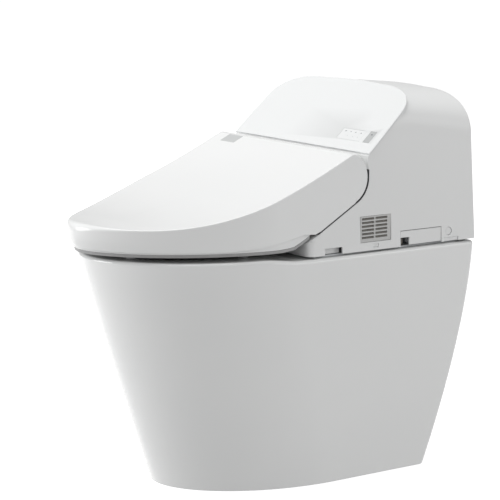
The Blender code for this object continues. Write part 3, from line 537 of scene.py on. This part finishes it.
def lidRail():
    # (x, y, z, outward x, outward y, lean of the top's normal) from the nose to the hinge's underside
    v = lidSize
    hingeY, hingeZ = v["hinge"]
    rail = []
    noseCount, power = 46, v["power"]
    for i in range(noseCount + 1):
        turn = pi / 2 * i / noseCount
        x = v["half"] * sin(turn) ** (2 / power)
        y = v["front"] + v["nose"] - v["nose"] * cos(turn) ** (2 / power)
        nx = (x / v["half"]) ** (power - 1) / v["half"]
        ny = -max((v["front"] + v["nose"] - y) / v["nose"], 0) ** (power - 1) / v["nose"]
        size = sqrt(nx * nx + ny * ny)
        rail.append([x, y, lidTop(y), nx / size, ny / size])
    straight = 14
    for i in range(1, straight + 1):
        y = mix(v["front"] + v["nose"], 0.0765, i / straight)
        rail.append([v["half"], y, lidTop(y), 1, 0])
    start = (0.0765, lidTop(0.0765))
    rise = (lidTop(0.0766) - lidTop(0.0764)) / 0.0002
    top = radians(56)
    end = (hingeY + v["barrel"] * cos(top), hingeZ + v["barrel"] * sin(top))
    fall = -cos(top) / sin(top)
    bendY = (end[1] - start[1] + rise * start[0] - fall * end[0]) / (rise - fall)
    bend = (bendY, start[1] + rise * (bendY - start[0]))
    for i in range(1, 8):  # the ridge, then the round back over the hinge
        t = i / 7
        y = mix(mix(start[0], bend[0], t), mix(bend[0], end[0], t), t)
        z = mix(mix(start[1], bend[1], t), mix(bend[1], end[1], t), t)
        rail.append([v["half"], y, z, 1, 0])
    for i in range(1, 21):
        turn = radians(56 - 116 * i / 20)
        rail.append([v["half"], hingeY + v["barrel"] * cos(turn), hingeZ + v["barrel"] * sin(turn), 1, 0])
    for i, point in enumerate(rail):
        if i < noseCount:
            slope = (lidTop(point[1] + 0.001) - lidTop(point[1] - 0.0001)) / 0.0011
            ny, nz = -slope, 1
        else:
            (_, ya, za, *_), (_, yb, zb, *_) = rail[i - 1], rail[min(i + 1, len(rail) - 1)]
            ny, nz = -(zb - za), yb - ya
        size = sqrt(ny * ny + nz * nz)
        lean = smoothStep(point[1], -0.24, -0.0726)
        ny, nz = ny / size * lean, mix(1, nz / size, lean)
        size = sqrt(ny * ny + nz * nz)
        point += [ny / size, nz / size]
    return rail, noseCount


def skirtLine(y):
    barrel = lidSize["barrel"]
    low = lidSize["skirt"]
    line = [(-0.4, low), (-0.160, low), (-0.105, 0.4255), (-0.060, 0.4325), (-0.020, 0.4400),
            (0.006, underHinge(0.006, barrel)), (0.0878, underHinge(0.0878, barrel))]
    return along(line, y)


def lidCrown(x, y, halfHere):
    share = 1 - min(abs(x) / max(halfHere, 1e-6), 1) ** 2
    return lidSize["crown"] * share * (1 - smoothStep(y, -0.12, 0.045)) * smoothStep(y, -0.345, -0.26)


def makeLid():
    v = lidSize
    rail, noseCount = lidRail()
    inward = [1.0, 0.86, 0.72, 0.58, 0.45, 0.33, 0.22, 0.13, 0.06, 0.02]
    turns = [pi / 2 * i / 5 for i in range(6)]
    drops = [0.0, 0.06, 0.2, 0.4, 0.6, 0.8, 0.94, 1.0]
    columns = len(inward) + len(turns) + len(drops) - 1

    def place(column, row):
        x, y, z, outX, outY, leanY, leanZ = rail[row]
        edge = mix(v["noseEdge"], v["edge"], smoothStep(row, 0, 20))

        def onEdge(turn):
            back, down = edge * (1 - sin(turn)), edge * (1 - cos(turn))
            px, py = x - outX * back, y - outY * back
            pz = lidTop(py) if row <= noseCount else z
            return px, py - leanY * down, pz - leanZ * down

        if column < len(inward):
            px, py, pz = onEdge(0)
            share = inward[column]
            spine = mix(-0.225, -0.0726, (row / noseCount) ** 1.3) if row <= noseCount else py
            qx, qy = mix(px, 0, share), mix(py, spine, share)
            qz = lidTop(qy) if row <= noseCount else pz
            return qx, qy, qz + lidCrown(qx, qy, mix(px, v["half"], share))
        if column < len(inward) + len(turns):
            return onEdge(turns[column - len(inward)])
        px, py, pz = onEdge(pi / 2)
        share = drops[column - len(inward) - len(turns) + 1]
        if row <= noseCount + 14:
            curl = v["curl"] * share**3 * (1 - smoothStep(row, 0, noseCount * 0.8))
            return px - outX * curl, py - outY * curl, mix(pz, skirtLine(py), share)
        foot = mix(0.0765, 0.0845, (row - noseCount - 14) / (len(rail) - 1 - noseCount - 14))
        return px, mix(py, foot, share), mix(pz, skirtLine(foot), share)

    bm = sheetOf(columns - 1, len(rail) - 1, place)
    # the barrel is open behind, where the seat's arms reach the hinge
    hingeY, hingeZ = v["hinge"]
    gone = []
    for face in bm.faces:
        middle = face.calc_center_median()
        reach = sqrt((middle.y - hingeY) ** 2 + (middle.z - hingeZ) ** 2)
        if middle.x < 0.172 and middle.y > 0.0835 and middle.z < 0.5568 and reach > 0.043:
            gone.append(face)
    bmesh.ops.delete(bm, geom=gone, context="FACES")
    # each flat cheek beside the barrel is one face
    cheek = []
    for face in bm.faces:
        middle = face.calc_center_median()
        if middle.x > v["half"] - 1e-6 and middle.y > v["cheekY"]:
            cheek.append(face)
    bmesh.ops.dissolve_faces(bm, faces=cheek, use_verts=False)
    mirrored(bm)
    topFace = max(bm.faces, key=lambda face: abs(face.normal.z) * (face.calc_center_median().y < -0.1))
    if topFace.normal.z < 0:
        bmesh.ops.reverse_faces(bm, faces=bm.faces)
    lid = newObject("lidCover", bm)
    thicken(lid, v["wall"])
    bosses = []
    for side in (-1, 1):
        ring = turned(
            [(0.0055, -0.011), (0.0055, 0.011), (0.012, 0.011), (0.0135, 0.0095), (0.0135, -0.011),
             (0.0055, -0.011)],
            36, "X", (side * 0.1815, hingeY, hingeZ),
        )
        bosses.append(ring)
    whole = bmesh.new()
    whole.from_mesh(lid.data)
    both = joined(whole, *bosses)
    both.to_mesh(lid.data)
    both.free()
    dress(lid, finish["lidGloss"], "lid", ["lid_shell"], sharp=38)


makeLid()
print("lid made")

# the seat

seatSize = {
    "front": -0.3290,
    "nose": 0.262,
    "half": 0.1912,
    "power": 1.68,
    "shoulder": 0.004,  # where the wide part ends, and the radius of its corner
    "corner": 0.012,
    "neck": 0.166,
    "rear": 0.045,
    "bottom": 0.4135,
    "top": 0.436,
    "split": 0.0053,  # the lower tray's thickness and the joint above it
    "edge": 0.0075,
    "hole": (0.106, -0.245, -0.018),
}


def seatHeight(y, share):
    # the seat is level, then climbs to the hinge; share 0 is its underside and 1 its top
    v = seatSize
    barrel = lidSize["barrel"]
    low = [(-0.5, v["bottom"]), (-0.060, v["bottom"]), (-0.036, v["bottom"] + 0.0025),
           (-0.012, underHinge(-0.012, barrel)), (0.060, underHinge(0.060, barrel))]
    high = [(-0.5, v["top"]), (-0.062, v["top"]), (-0.036, v["top"] + 0.0030),
            (-0.012, underHinge(-0.012, barrel) + 0.0170), (0.060, underHinge(0.060, barrel) + 0.0175)]
    return mix(along(low, y) + v["split"], along(high, y), share)


def seatOutline(inset):
    v = seatSize
    half = v["half"] - inset
    power, corner, noseCount = v["power"], v["corner"], 40
    points = []
    for i in range(noseCount + 1):
        turn = pi / 2 * i / noseCount
        reach = v["nose"] - inset
        y = v["front"] + inset + reach - reach * cos(turn) ** (2 / power)
        points.append((half * sin(turn) ** (2 / power), y))
    shoulder = v["shoulder"] - inset
    for i in range(1, 5):
        points.append((half, mix(points[noseCount][1], shoulder - corner, i / 4)))
    for i in range(1, 6):
        turn = pi / 2 * i / 5
        points.append((half - corner + corner * cos(turn), shoulder - corner + corner * sin(turn)))
    neck = v["neck"] - inset
    points.append((mix(half - corner, neck, 0.5), shoulder))
    points.append((neck, shoulder))
    end = v["rear"] - inset
    points += [(neck, mix(shoulder, end, i / 4)) for i in range(1, 5)]
    points += [(neck * (1 - i / 8), end) for i in range(1, 9)]
    return points


def makeSeat():
    v = seatSize
    half, front, rear = v["hole"]
    middle, reach = (front + rear) / 2, (rear - front) / 2
    edge, hollow = v["edge"], 0.0035
    base = seatOutline(0)

    def hole(grow):
        ring = []
        for x, y in base:
            turn = atan2((y - middle) / reach, x / half)
            wide = half * cos(turn) * (1 + 0.06 * sin(turn))
            size = sqrt(wide**2 + (reach * sin(turn)) ** 2)
            ring.append((wide * (1 + grow / size), middle + reach * sin(turn) * (1 + grow / size)))
        return ring

    rings = []
    turns = [pi / 2 * i / 5 for i in range(6)]
    for height in (0.0, 0.15):
        rings.append([(x, y, seatHeight(y, height)) for x, y in seatOutline(0.0)])
    for turn in turns:
        ring = seatOutline(edge * (1 - cos(turn)))
        drop = edge * (1 - sin(turn))
        rings.append([(x, y, seatHeight(y, 1) - drop) for x, y in ring])
    outer, inner = rings[-1], hole(0.011)
    for share in (0.2, 0.4, 0.6, 0.8):
        ring = []
        for (x, y, _), (u, w) in zip(outer, inner):
            x, y = mix(x, u, share), mix(y, w, share)
            dish = hollow * sin(pi * share) ** 2 * (1 - smoothStep(y, -0.080, -0.030))
            ring.append((x, y, seatHeight(y, 1) - dish))
        rings.append(ring)
    for turn in turns:
        ring = hole(0.011 * (1 - sin(turn)))
        rings.append([(x, y, seatHeight(y, 1) - 0.011 * (1 - cos(turn))) for x, y in ring])
    rings.append([(x, y, seatHeight(y, 0)) for x, y in hole(0.0)])
    rings.append(rings[0])
    bm = sheetOf(len(rings) - 1, len(base) - 1, lambda column, row: rings[column][row])
    seat = newObject("seatTop", mirrored(bm))
    slots = [slab((side * 0.15875 - 0.0083, 0.020, 0.44), (side * 0.15875 + 0.0083, 0.06, 0.50))
             for side in (-1, 1)]
    cutAway(seat, *slots)
    dress(seat, finish["lidGloss"], "seat", ["seat_shell"], sharp=50)


makeSeat()
print("seat made")

# the housing behind the seat

housingSize = {
    "low": 0.4018,
    "front": -0.012,
    "rear": 0.3406,
    "wallY": 0.1125,
    "frontHalf": 0.1985,
    "rearHalf": 0.2050,
    "shoulder": (0.598, 0.575),  # these four hold their values at the front and at the rear
    "top": (0.6685, 0.6555),
    "power": (2.6, 2.4),
    "high": (0.1925, 0.1915),
    "flat": 0.068,
    "arcRadius": 0.0475,
    "panelZ": 0.5641,
    "panelTilt": radians(42),
    "panelThick": 0.003,
    "wall": 0.003,
    "cornerFront": 0.012,
    "cornerRear": 0.0038,
    "edge": 0.0011,
}


def panelPoint(x, up, lift=0.0):
    # a point on the sloping panel: across, up the slope, and out from its face
    v = housingSize
    tilt = v["panelTilt"]
    return (
        x,
        v["wallY"] + up * cos(tilt) - lift * sin(tilt),
        v["panelZ"] + up * sin(tilt) + lift * cos(tilt),
    )


def frontLine():
    # (y, z) of the housing's front, from its foot up past the hinge to the top
    v = housingSize
    hingeY, hingeZ = lidSize["hinge"]
    radius = v["arcRadius"]
    nose = v["front"]
    line = [(nose, v["low"]), (nose, 0.412), (nose, underHinge(nose, radius) - 0.003)]
    line += [(nose + 0.0018, underHinge(nose + 0.0018, radius) - 0.0010)]
    line += [(nose + 0.005, underHinge(nose + 0.005, radius))]
    line += [(y, underHinge(y, radius)) for y in (0.010, 0.030, 0.050, 0.070)]
    for i in range(15):
        turn = radians(mix(-60, -6, i / 14))
        line.append((hingeY + radius * cos(turn), hingeZ + radius * sin(turn)))
    gap = v["panelThick"] + 0.0003
    _, footY, footZ = panelPoint(0, 0, -gap)
    slope = tan(v["panelTilt"])
    footZ -= (footY - v["wallY"]) * slope
    line += [(v["wallY"], hingeZ), (v["wallY"], footZ)]
    line += [(v["wallY"] + (z - footZ) / slope, z) for z in (0.575, 0.590, 0.605, 0.620, 0.635, 0.650, 0.70)]
    return line


def cornerPull(depth, radius):
    reach = radius - min(max(depth, 0), radius)
    return radius - sqrt(radius**2 - reach**2)


def housingSection(y, share, inset=0.0):
    # a point on the housing's outside: share runs from its foot (0) to the middle of its top (1)
    v = housingSize
    back = min(max((y - 0.20) / (v["rear"] - 0.20), 0), 1)
    shoulder = mix(*v["shoulder"], back)
    top = mix(*v["top"], back) - inset
    power = mix(*v["power"], back)
    half = mix(v["frontHalf"], v["rearHalf"], (y - v["front"]) / (v["rear"] - v["front"]))
    pull = cornerPull(y - v["front"], v["cornerFront"]) + inset
    foot, high, flat = half - pull, mix(*v["high"], back) - pull, v["flat"]
    if share < 0.5:
        z = v["low"] + (shoulder - v["low"]) * sideHeights(share)
        return mix(foot, high, (z - v["low"]) / (shoulder - v["low"])), z
    if share <= 0.9:
        turn = pi / 2 * (share - 0.5) / 0.4
        x = flat + (high - flat) * max(cos(turn), 0) ** (2 / power)
        return x, shoulder + (top - 0.0022 - shoulder) * sin(turn) ** (2 / power)
    t = (share - 0.9) / 0.1
    return flat * (1 - t), top - 0.0022 * (1 - t) ** 2


def sideHeights(share):
    # heights up the straight side, so that the rows meet the front line's own corners
    line = frontLine()
    shoulder = housingSize["shoulder"][0]
    marks = [(z - housingSize["low"]) / (shoulder - housingSize["low"]) for _, z in line if z < shoulder]
    place = share * 2 * len(marks)
    low = min(int(place), len(marks) - 1)
    following = marks[low + 1] if low + 1 < len(marks) else 1.0
    return mix(marks[low], following, place - low)


def makeHousing():
    v = housingSize
    line = frontLine()
    frontByHeight = [(z, y) for y, z in line]
    count = sum(z < v["shoulder"][0] for _, z in line)
    shares = [0.5 * i / count for i in range(count)]
    shares += [0.5 + 0.4 * i / 22 for i in range(23)] + [0.9 + 0.1 * i / 6 for i in range(1, 7)]
    near = [0, 0.0009, 0.0026, 0.0050, 0.0082, 0.0120]
    wide = [0, 0.0024, 0.0048, 0.0072, 0.0096, 0.0120]
    depths = [0.04, 0.10, 0.18, 0.28, 0.38, 0.48, 0.58, 0.68, 0.78, 0.88, 0.96]
    cap = [1.0, 0.66, 0.33]
    turns = [pi / 2 * i / 5 for i in range(6)]

    def frontOf(share):
        y = 0.1
        for _ in range(4):
            _, z = housingSection(y, share)
            y = along(frontByHeight, z)
        return y

    fronts = [frontOf(share) for share in shares]
    across = [0.0, 0.25, 0.5, 0.75, 0.94]
    columns = len(across) + len(near) + len(depths) + len(turns) + len(cap)

    def place(column, row):
        share, y0 = shares[row], fronts[row]
        if column < len(across):
            x, z = housingSection(y0, share)
            return x * across[column], y0, z
        column -= len(across)
        steps = near if y0 < v["front"] + 0.004 else wide
        if column < len(near):
            y = y0 + steps[column]
        elif column < len(near) + len(depths):
            y = mix(y0 + 0.012, v["rear"] - v["cornerRear"], depths[column - len(near)])
        else:
            column -= len(near) + len(depths)
            if column < len(turns):
                turn = turns[column]
                inset = v["cornerRear"] * (1 - cos(turn))
                y = v["rear"] - v["cornerRear"] * (1 - sin(turn))
                x, z = housingSection(y, share, inset)
                return x, y, z
            x, z = housingSection(v["rear"], share, v["cornerRear"])
            return x * [0.66, 0.33, 0][column - len(turns)], v["rear"], z
        x, z = housingSection(y, share)
        return x, y, z

    bm = sheetOf(columns - 1, len(shares) - 1, place)
    mirrored(bm)
    rim = []
    for edge in bm.edges:
        if len(edge.link_faces) == 2 and edge.calc_face_angle(0) > radians(38):
            middle = (edge.verts[0].co + edge.verts[1].co) / 2
            if middle.z > 0.426 and abs(middle.x) > 0.06:
                rim.append(edge)
    roundEdges(bm, rim, v["edge"], 2)
    bmesh.ops.recalc_face_normals(bm, faces=bm.faces)
    if sum(f.normal.x * f.calc_area() for f in bm.faces if f.calc_center_median().x > 0.15) < 0:
        bmesh.ops.reverse_faces(bm, faces=bm.faces)
    housing = newObject("housingShell", bm)
    thicken(housing, v["wall"])
    openings = [
        ((0.185, 0.0930, 0.4155), (0.21, 0.1580, 0.4600)),  # grille
        ((0.185, 0.1773, 0.3900), (0.21, 0.2665, 0.4287)),  # access cover
        ((0.185, 0.2710, 0.3900), (0.21, 0.3030, 0.4085)),  # release tab
        ((0.185, 0.1198, 0.4060), (0.21, 0.1312, 0.4124)),  # grille latch
        ((0.186, 0.0200, 0.3910), (0.21, 0.0560, 0.4132)),  # notch at the arm's foot
        ((-0.0185, -0.03, 0.3900), (0.0185, 0.010, 0.4180)),  # nozzle
        ((0.0330, -0.03, 0.3900), (0.0710, 0.010, 0.4180)),  # dryer
        ((-0.21, 0.1800, 0.3900), (-0.185, 0.2400, 0.4400)),  # water and power
    ]
    cutters = [slab(low, high) for low, high in openings]
    buttonHole = [(0, -0.015), (0.0073, -0.015), (0.0073, 0.015), (0, 0.015)]
    hole = turned(buttonHole, 40, "X", (0.2, 0.2816, 0.4190))
    cutAway(housing, *cutters, hole)
    dress(housing, finish["housingSatin"], "root", ["housing_cover"], sharp=32)


makeHousing()
print("housing made")

# the front panel with its display and receiver

panelValues = {
    "tilt": radians(42),
    "foot": (0, 0.1125, 0.5641),
    "thick": 0.003,
    "edge": 0.0013,
    "half": 0.196,
    "rise": 0.1555,
    "display": ((0.0840, 0.0220), (0.1475, 0.0455)),
    "receiver": ((0.1570, 0.0215), (0.1735, 0.0465)),
    "icons": (0.0942, 0.1085, 0.1218, 0.1361),
    "iconRow": 0.0395,
    "lamps": (0.1074, 0.1219, 0.1351),
    "lampRow": 0.0300,
}


def ontoPanel(obj):
    v = panelValues
    obj.data.transform(Matrix.Translation(v["foot"]) @ Matrix.Rotation(v["tilt"], 4, "X"))


def panelOutline():
    v = panelValues
    high, shoulder, flat = v["rise"], 0.085, 0.075
    half = v["half"]
    right = [(half, 0), (half - 0.0004, 0.020), (half - 0.0015, 0.045), (half - 0.0026, 0.066)]
    for i in range(33):
        turn = pi / 2 * i / 32
        x = flat + (half - 0.004 - flat) * cos(turn) ** (2 / 2.5)
        right.append((x, shoulder + (high - 0.003 - shoulder) * sin(turn) ** (2 / 2.5)))
    right += [(flat * (1 - i / 5), high - 0.003 + 0.003 * (1 - (1 - i / 5) ** 2)) for i in range(1, 5)]
    return right + [(0, high)] + [(-x, y) for x, y in reversed(right)]


def makePanel():
    v = panelValues
    panel = newObject("frontPanel", outlined(panelOutline(), v["thick"], v["edge"], 3, 0.002))
    gap = 0.0003
    for (x0, y0), (x1, y1) in (v["display"], v["receiver"]):
        cutAway(panel, slab((x0 - gap, y0 - gap, -0.0018), (x1 + gap, y1 + gap, 0.01)))
    ontoPanel(panel)
    dress(panel, finish["panelGloss"], "root", ["front_panel"], sharp=32)

    for name, node, finishName, slotName in (
        ("display", "display_window", "displayGrey", "pale_grey_plastic"),
        ("receiver", "receiver_window", "smokeGrey", "dark_grey_plastic"),
    ):
        (x0, y0), (x1, y1) = v[name]
        window = newObject(name + "Window", slab((x0, y0, -0.0015), (x1, y1, 0.0), 0.0003, 2))
        ontoPanel(window)
        dress(window, finish[finishName], "root", [node], sharp=50)


def ovalMark(x, y, wide, high, count=14):
    turns = [2 * pi * i / count for i in range(count)]
    return outlined([(x + wide * cos(turn), y + high * sin(turn)) for turn in turns], 0.0004)


def makeMarks():
    # four plain marks: a spout, a ring, bars and a wedge
    v = panelValues
    marks = []
    for index, x in enumerate(v["icons"]):
        y = v["iconRow"]
        if index == 0:
            marks.append(ovalMark(x, y, 0.001495, 0.00104))
            marks.append(slab((x + 0.0006, y + 0.0006, -0.0004), (x + 0.0022, y + 0.0012, 0.0)))
        elif index == 1:
            marks.append(ovalMark(x, y, 0.00168, 0.00066))
        elif index == 2:
            for step in (-1, 0, 1):
                low = (x - 0.0016 + 0.0004 * step, y - 0.0003 + 0.0008 * step, -0.0004)
                marks.append(slab(low, (low[0] + 0.0028, low[1] + 0.0004, 0.0)))
        else:
            points = [(x - 0.0018, y - 0.0009), (x + 0.0018, y - 0.0007), (x + 0.0017, y + 0.0011),
                      (x + 0.0006, y + 0.0004)]
            marks.append(outlined(points, 0.0004))
    (x0, _), (x1, y1) = v["receiver"]
    middle = (x0 + x1) / 2
    marks.append(slab((middle - 0.0022, y1 - 0.0070, -0.0004), (middle + 0.0018, y1 - 0.0056, 0.0)))
    marks.append(slab((middle - 0.0006, y1 - 0.0084, -0.0004), (middle + 0.0022, y1 - 0.0076, 0.0)))
    whole = joined(*marks)
    bmesh.ops.translate(whole, vec=(0, 0, 0.00012), verts=whole.verts)
    inked = newObject("displayMarks", whole)
    ontoPanel(inked)
    dress(inked, finish["iconInk"], "root", sharp=30)

    lamps = []
    for x in v["lamps"]:
        profile = [(0, 0.00025), (0.0005, 0.00022), (0.0008, 0.0001), (0.0009, -0.0004), (0, -0.0004)]
        lamps.append(turned(profile, 20, "Z", (x, v["lampRow"], 0)))
    lit = newObject("displayLamps", joined(*lamps))
    ontoPanel(lit)
    dress(lit, finish["lampDot"], "root", sharp=40)


makePanel()
makeMarks()
print("panel made")

# fittings on the right side and the lid's sensor window

sideValues = {
    "face": 0.1992,
    "grille": ((0.0934, 0.4159), (0.1576, 0.4596)),
    "slotsAcross": ((0.0966, 0.1224), (0.1252, 0.1502)),
    "slotRows": (0.4552, 0.4489, 0.4426, 0.4363, 0.4300, 0.4237),
    "slotHalf": 0.0017,
    "bladeTurn": Matrix.Rotation(radians(38), 3, "Y"),
    "cover": ((0.1777, 0.4035), (0.2661, 0.4275)),
    "coverFace": 0.2012,
    "notch": (0.1965, 0.4166),
}


def facingRight(bm, x):
    # turns a flat piece so that its upper face looks along +X at this distance
    turn = Matrix(((0, 0, 1), (1, 0, 0), (0, 1, 0)))
    bmesh.ops.transform(bm, matrix=turn.to_4x4(), verts=bm.verts)
    bmesh.ops.translate(bm, vec=(x, 0, 0), verts=bm.verts)
    return bm


def makeGrille():
    v = sideValues
    (y0, z0), (y1, z1) = v["grille"]
    ys = [y0, *v["slotsAcross"][0], *v["slotsAcross"][1], y1]
    zs = [z0]
    for z in reversed(v["slotRows"]):
        zs += [z - v["slotHalf"], z + v["slotHalf"]]
    zs.append(z1)
    bm = sheetOf(len(ys) - 1, len(zs) - 1, lambda column, row: (v["face"], ys[column], zs[row]))
    holes = []
    for face in bm.faces:
        middle = face.calc_center_median()
        inSlot = any(a < middle.y < b for a, b in v["slotsAcross"])
        if inSlot and any(abs(middle.z - z) < v["slotHalf"] for z in v["slotRows"]):
            holes.append(face)
    bmesh.ops.delete(bm, geom=holes, context="FACES")
    faced(bm, 0)
    grille = newObject("sideGrille", bm)
    thicken(grille, 0.0024)
    bm = bmesh.new()
    bm.from_mesh(grille.data)
    sharp = [e for e in bm.edges if len(e.link_faces) == 2 and e.calc_face_angle(0) > 1
             and all(p.co.x > v["face"] - 1e-5 for p in e.verts)]
    roundEdges(bm, sharp, 0.0004, 2)
    blades = []
    for z in v["slotRows"]:
        for a, b in v["slotsAcross"]:
            blade = slab((-0.0011, a - 0.0004, -0.0003), (0.0011, b + 0.0004, 0.0003))
            bmesh.ops.rotate(blade, cent=(0, 0, 0), matrix=v["bladeTurn"], verts=blade.verts)
            bmesh.ops.translate(blade, vec=(v["face"] - 0.0022, 0, z - 0.0004), verts=blade.verts)
            blades.append(blade)
    bm.to_mesh(grille.data)
    bm.free()
    dress(grille, finish["grillePaint"], "filter_drawer", ["vent_grille"], sharp=35)
    # the louvres are dark grey-brown, painted shade for the deep slots
    louvres = newObject("grilleLouvres", joined(*blades))
    dress(louvres, finish["recessShadeGrey"], "filter_drawer", sharp=35)


def makeAccessCover():
    v = sideValues
    (y0, z0), (y1, z1) = v["cover"]
    notchY, notchZ = v["notch"]
    points = [(notchY, z0), (y1, z0), (y1, z1), (y0, z1), (y0, notchZ), (notchY, notchZ)]
    bm = facingRight(outlined(points, 0.0026, 0.0005, 3), v["coverFace"])
    cover = newObject("accessDoor", bm)
    dress(cover, finish["housingSatin"], "access_cover", ["access_cover"], sharp=32)
    # a dark lining behind the finger notch, painted shade for the recess
    lining = slab((0.1876, 0.1780, 0.4024), (0.1886, 0.1920, 0.4284), 0.0002, 1)
    recess = newObject("accessRecess", lining)
    dress(recess, finish["recessShadeGrey"], "root", sharp=32)
    # dark strips along the cover's top and left edges, painted shade for the gap round it
    gapShades = [
        slab((0.1962, y0 - 0.0002, z1 + 0.0002), (0.1998, y1 + 0.0002, z1 + 0.0012)),
        slab((0.1962, y0 - 0.0004, notchZ), (0.1994, y0 - 0.0001, z1 + 0.0010)),
    ]
    gapShade = newObject("accessGapShade", joined(*gapShades))
    dress(gapShade, finish["darkPlastic"], "root", sharp=32)
    notch = newObject("armNotchLining", slab((0.1868, 0.0190, 0.4022), (0.1884, 0.0570, 0.4136), 0.0003, 2))
    dress(notch, finish["housingSatin"], "root", sharp=32)


def makeButtons():
    profile = [(0, 0.0043), (0.0048, 0.0043), (0.0058, 0.0044), (0.0064, 0.0042), (0.0068, 0.0037),
               (0.0069, 0.0030), (0.0069, -0.0045), (0, -0.0045)]
    button = newObject("sideButton", turned(profile, 48, "X", (0.1975, 0.2816, 0.4190)))
    dress(button, finish["housingSatin"], "side_button", ["side_button"], sharp=40)
    tab = slab((0.1930, 0.2713, 0.4020), (0.2026, 0.3027, 0.4080), 0.0009, 3)
    ridges = [slab((0.2016, y, 0.4034), (0.2029, y + 0.0008, 0.4066), 0.0002, 1)
              for y in (0.2840, 0.2866, 0.2892)]
    dress(newObject("releaseTab", joined(tab, *ridges)), finish["housingSatin"], "release_tab",
          ["release_tab"], sharp=40)
    latch = slab((0.1955, 0.1201, 0.4063), (0.2000, 0.1309, 0.4121), 0.0008, 3)
    ridges = [slab((0.1994, y, 0.4076), (0.2003, y + 0.0006, 0.4108), 0.0002, 1)
              for y in (0.1236, 0.1252, 0.1268)]
    dress(newObject("grilleLatch", joined(latch, *ridges)), finish["housingSatin"], "grille_latch",
          ["grille_latch"], sharp=40)


def makeSensorWindow():
    low, high = (-0.1620, 0.0560), (-0.1200, 0.0785)

    def place(column, row):
        x, y = mix(low[0], high[0], column / 6), mix(low[1], 0.0770, row / 6)
        return x, y, lidTop(y) + 0.00025

    bm = sheetOf(6, 6, place)
    faced(bm, 2)
    window = newObject("lidSensor", bm)
    thicken(window, 0.0016)
    dress(window, finish["clearGrey"], "lid", ["lid_sensor_window"], sharp=40)


shadeSize = {
    "radius": 0.0472,
    "half": 0.1974,
    "thick": 0.0008,
    "topY": 0.1121,
}


def makeHingeShade():
    # a dark strip that paints the shade behind the lid's barrel and under the seat's arms
    v = shadeSize
    hingeY, hingeZ = lidSize["hinge"]
    radius, half = v["radius"], v["half"]
    line = [(v["topY"], 0.5380), (v["topY"], 0.5300)]
    for i in range(13):
        turn = radians(mix(-6, -60, i / 12))
        line.append((hingeY + radius * cos(turn), hingeZ + radius * sin(turn)))
    line += [(y, underHinge(y, radius)) for y in (0.070, 0.050, 0.030, 0.008)]
    bm = sheetOf(4, len(line) - 1, lambda column, row: (mix(-half, half, column / 4), *line[row]))
    shade = newObject("hingeShade", bm)
    thicken(shade, v["thick"])
    dress(shade, finish["darkPlastic"], "root", sharp=40)


makeGrille()
makeHingeShade()
makeAccessCover()
makeButtons()
makeSensorWindow()
print("fittings made")

# finishes on the parts that keep their own shape

slotFinish = {
    "ceramic": "ceramicGlaze",
    "white_plastic": "housingSatin",
    "seat_plastic": "lidGloss",
    "pale_grey_plastic": "softGrey",
    "dark_grey_plastic": "darkPlastic",
    "grey_rubber": "greyRubber",
    "steel": "brushedSteel",
    "brass": "castBrass",
    "circuit_board": "boardGreen",
    "heater_foil": "heaterFoil",
}
plain = 0
for name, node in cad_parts.items():
    for holder in node.material_slots:
        old = holder.material.name.split(".")[0] if holder.material else ""
        if old in slotFinish:
            holder.material = finish[slotFinish[old]]
        else:
            plain += 1
            print("no finish for", name, old)
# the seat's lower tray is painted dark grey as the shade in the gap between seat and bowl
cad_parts["seat_base"].material_slots[0].material = finish["trayShadeGrey"]
print("parts dressed, left plain:", plain)

# light, floor and camera

stageValues = {
    "ambient": 0.47,
    "floorGlow": 0.62,
    "lamps": [
        ("overhead", (-0.2, -0.3, 3.6), 2.6, 52),
        ("frontLeft", (-1.9, -3.2, 1.6), 2.2, 66),
        ("rearRight", (3.2, 2.4, 1.5), 2.2, 23),
    ],
}


def makeStage():
    bm = bmesh.new()
    bmesh.ops.create_circle(bm, cap_ends=True, segments=96, radius=40)
    floor = newObject("floor", bm)
    material = bpy.data.materials.new("paleFloor")
    material.use_nodes = True
    tree = material.node_tree
    shader = tree.nodes["Principled BSDF"]
    shader.inputs["Base Color"].default_value = (0.92, 0.92, 0.92, 1)
    shader.inputs["Roughness"].default_value = 0.9
    shader.inputs["Emission Color"].default_value = (1, 1, 1, 1)
    shader.inputs["Emission Strength"].default_value = stageValues["floorGlow"]
    floor.data.materials.append(material)
    floor.visible_diffuse = False

    world = bpy.context.scene.world or bpy.data.worlds.new("studio")
    bpy.context.scene.world = world
    world.use_nodes = True
    ground = world.node_tree.nodes["Background"]
    ground.inputs["Color"].default_value = (1, 1, 1, 1)
    ground.inputs["Strength"].default_value = stageValues["ambient"]

    def lamp(name, place, aim, size, power):
        data = bpy.data.lights.new(name, "AREA")
        data.shape = "DISK"
        data.size = size
        data.energy = power
        obj = bpy.data.objects.new(name, data)
        obj.location = place
        obj.rotation_euler = (Vector(aim) - Vector(place)).to_track_quat("-Z", "Y").to_euler()
        bpy.context.scene.collection.objects.link(obj)

    for name, place, size, power in stageValues["lamps"]:
        lamp(name, place, (0, 0, 0.35), size, power)

    data = bpy.data.cameras.new("camera")
    data.lens, data.sensor_width = 152.87, 36
    data.clip_start, data.clip_end = 0.05, 200
    camera = bpy.data.objects.new("camera", data)
    camera.location = (2.9542, -2.0513, 1.0146)
    camera.rotation_euler = (radians(80.07), 0, radians(55.12))
    bpy.context.scene.collection.objects.link(camera)
    bpy.context.scene.camera = camera
    bpy.context.scene.view_settings.view_transform = "Standard"


makeStage()
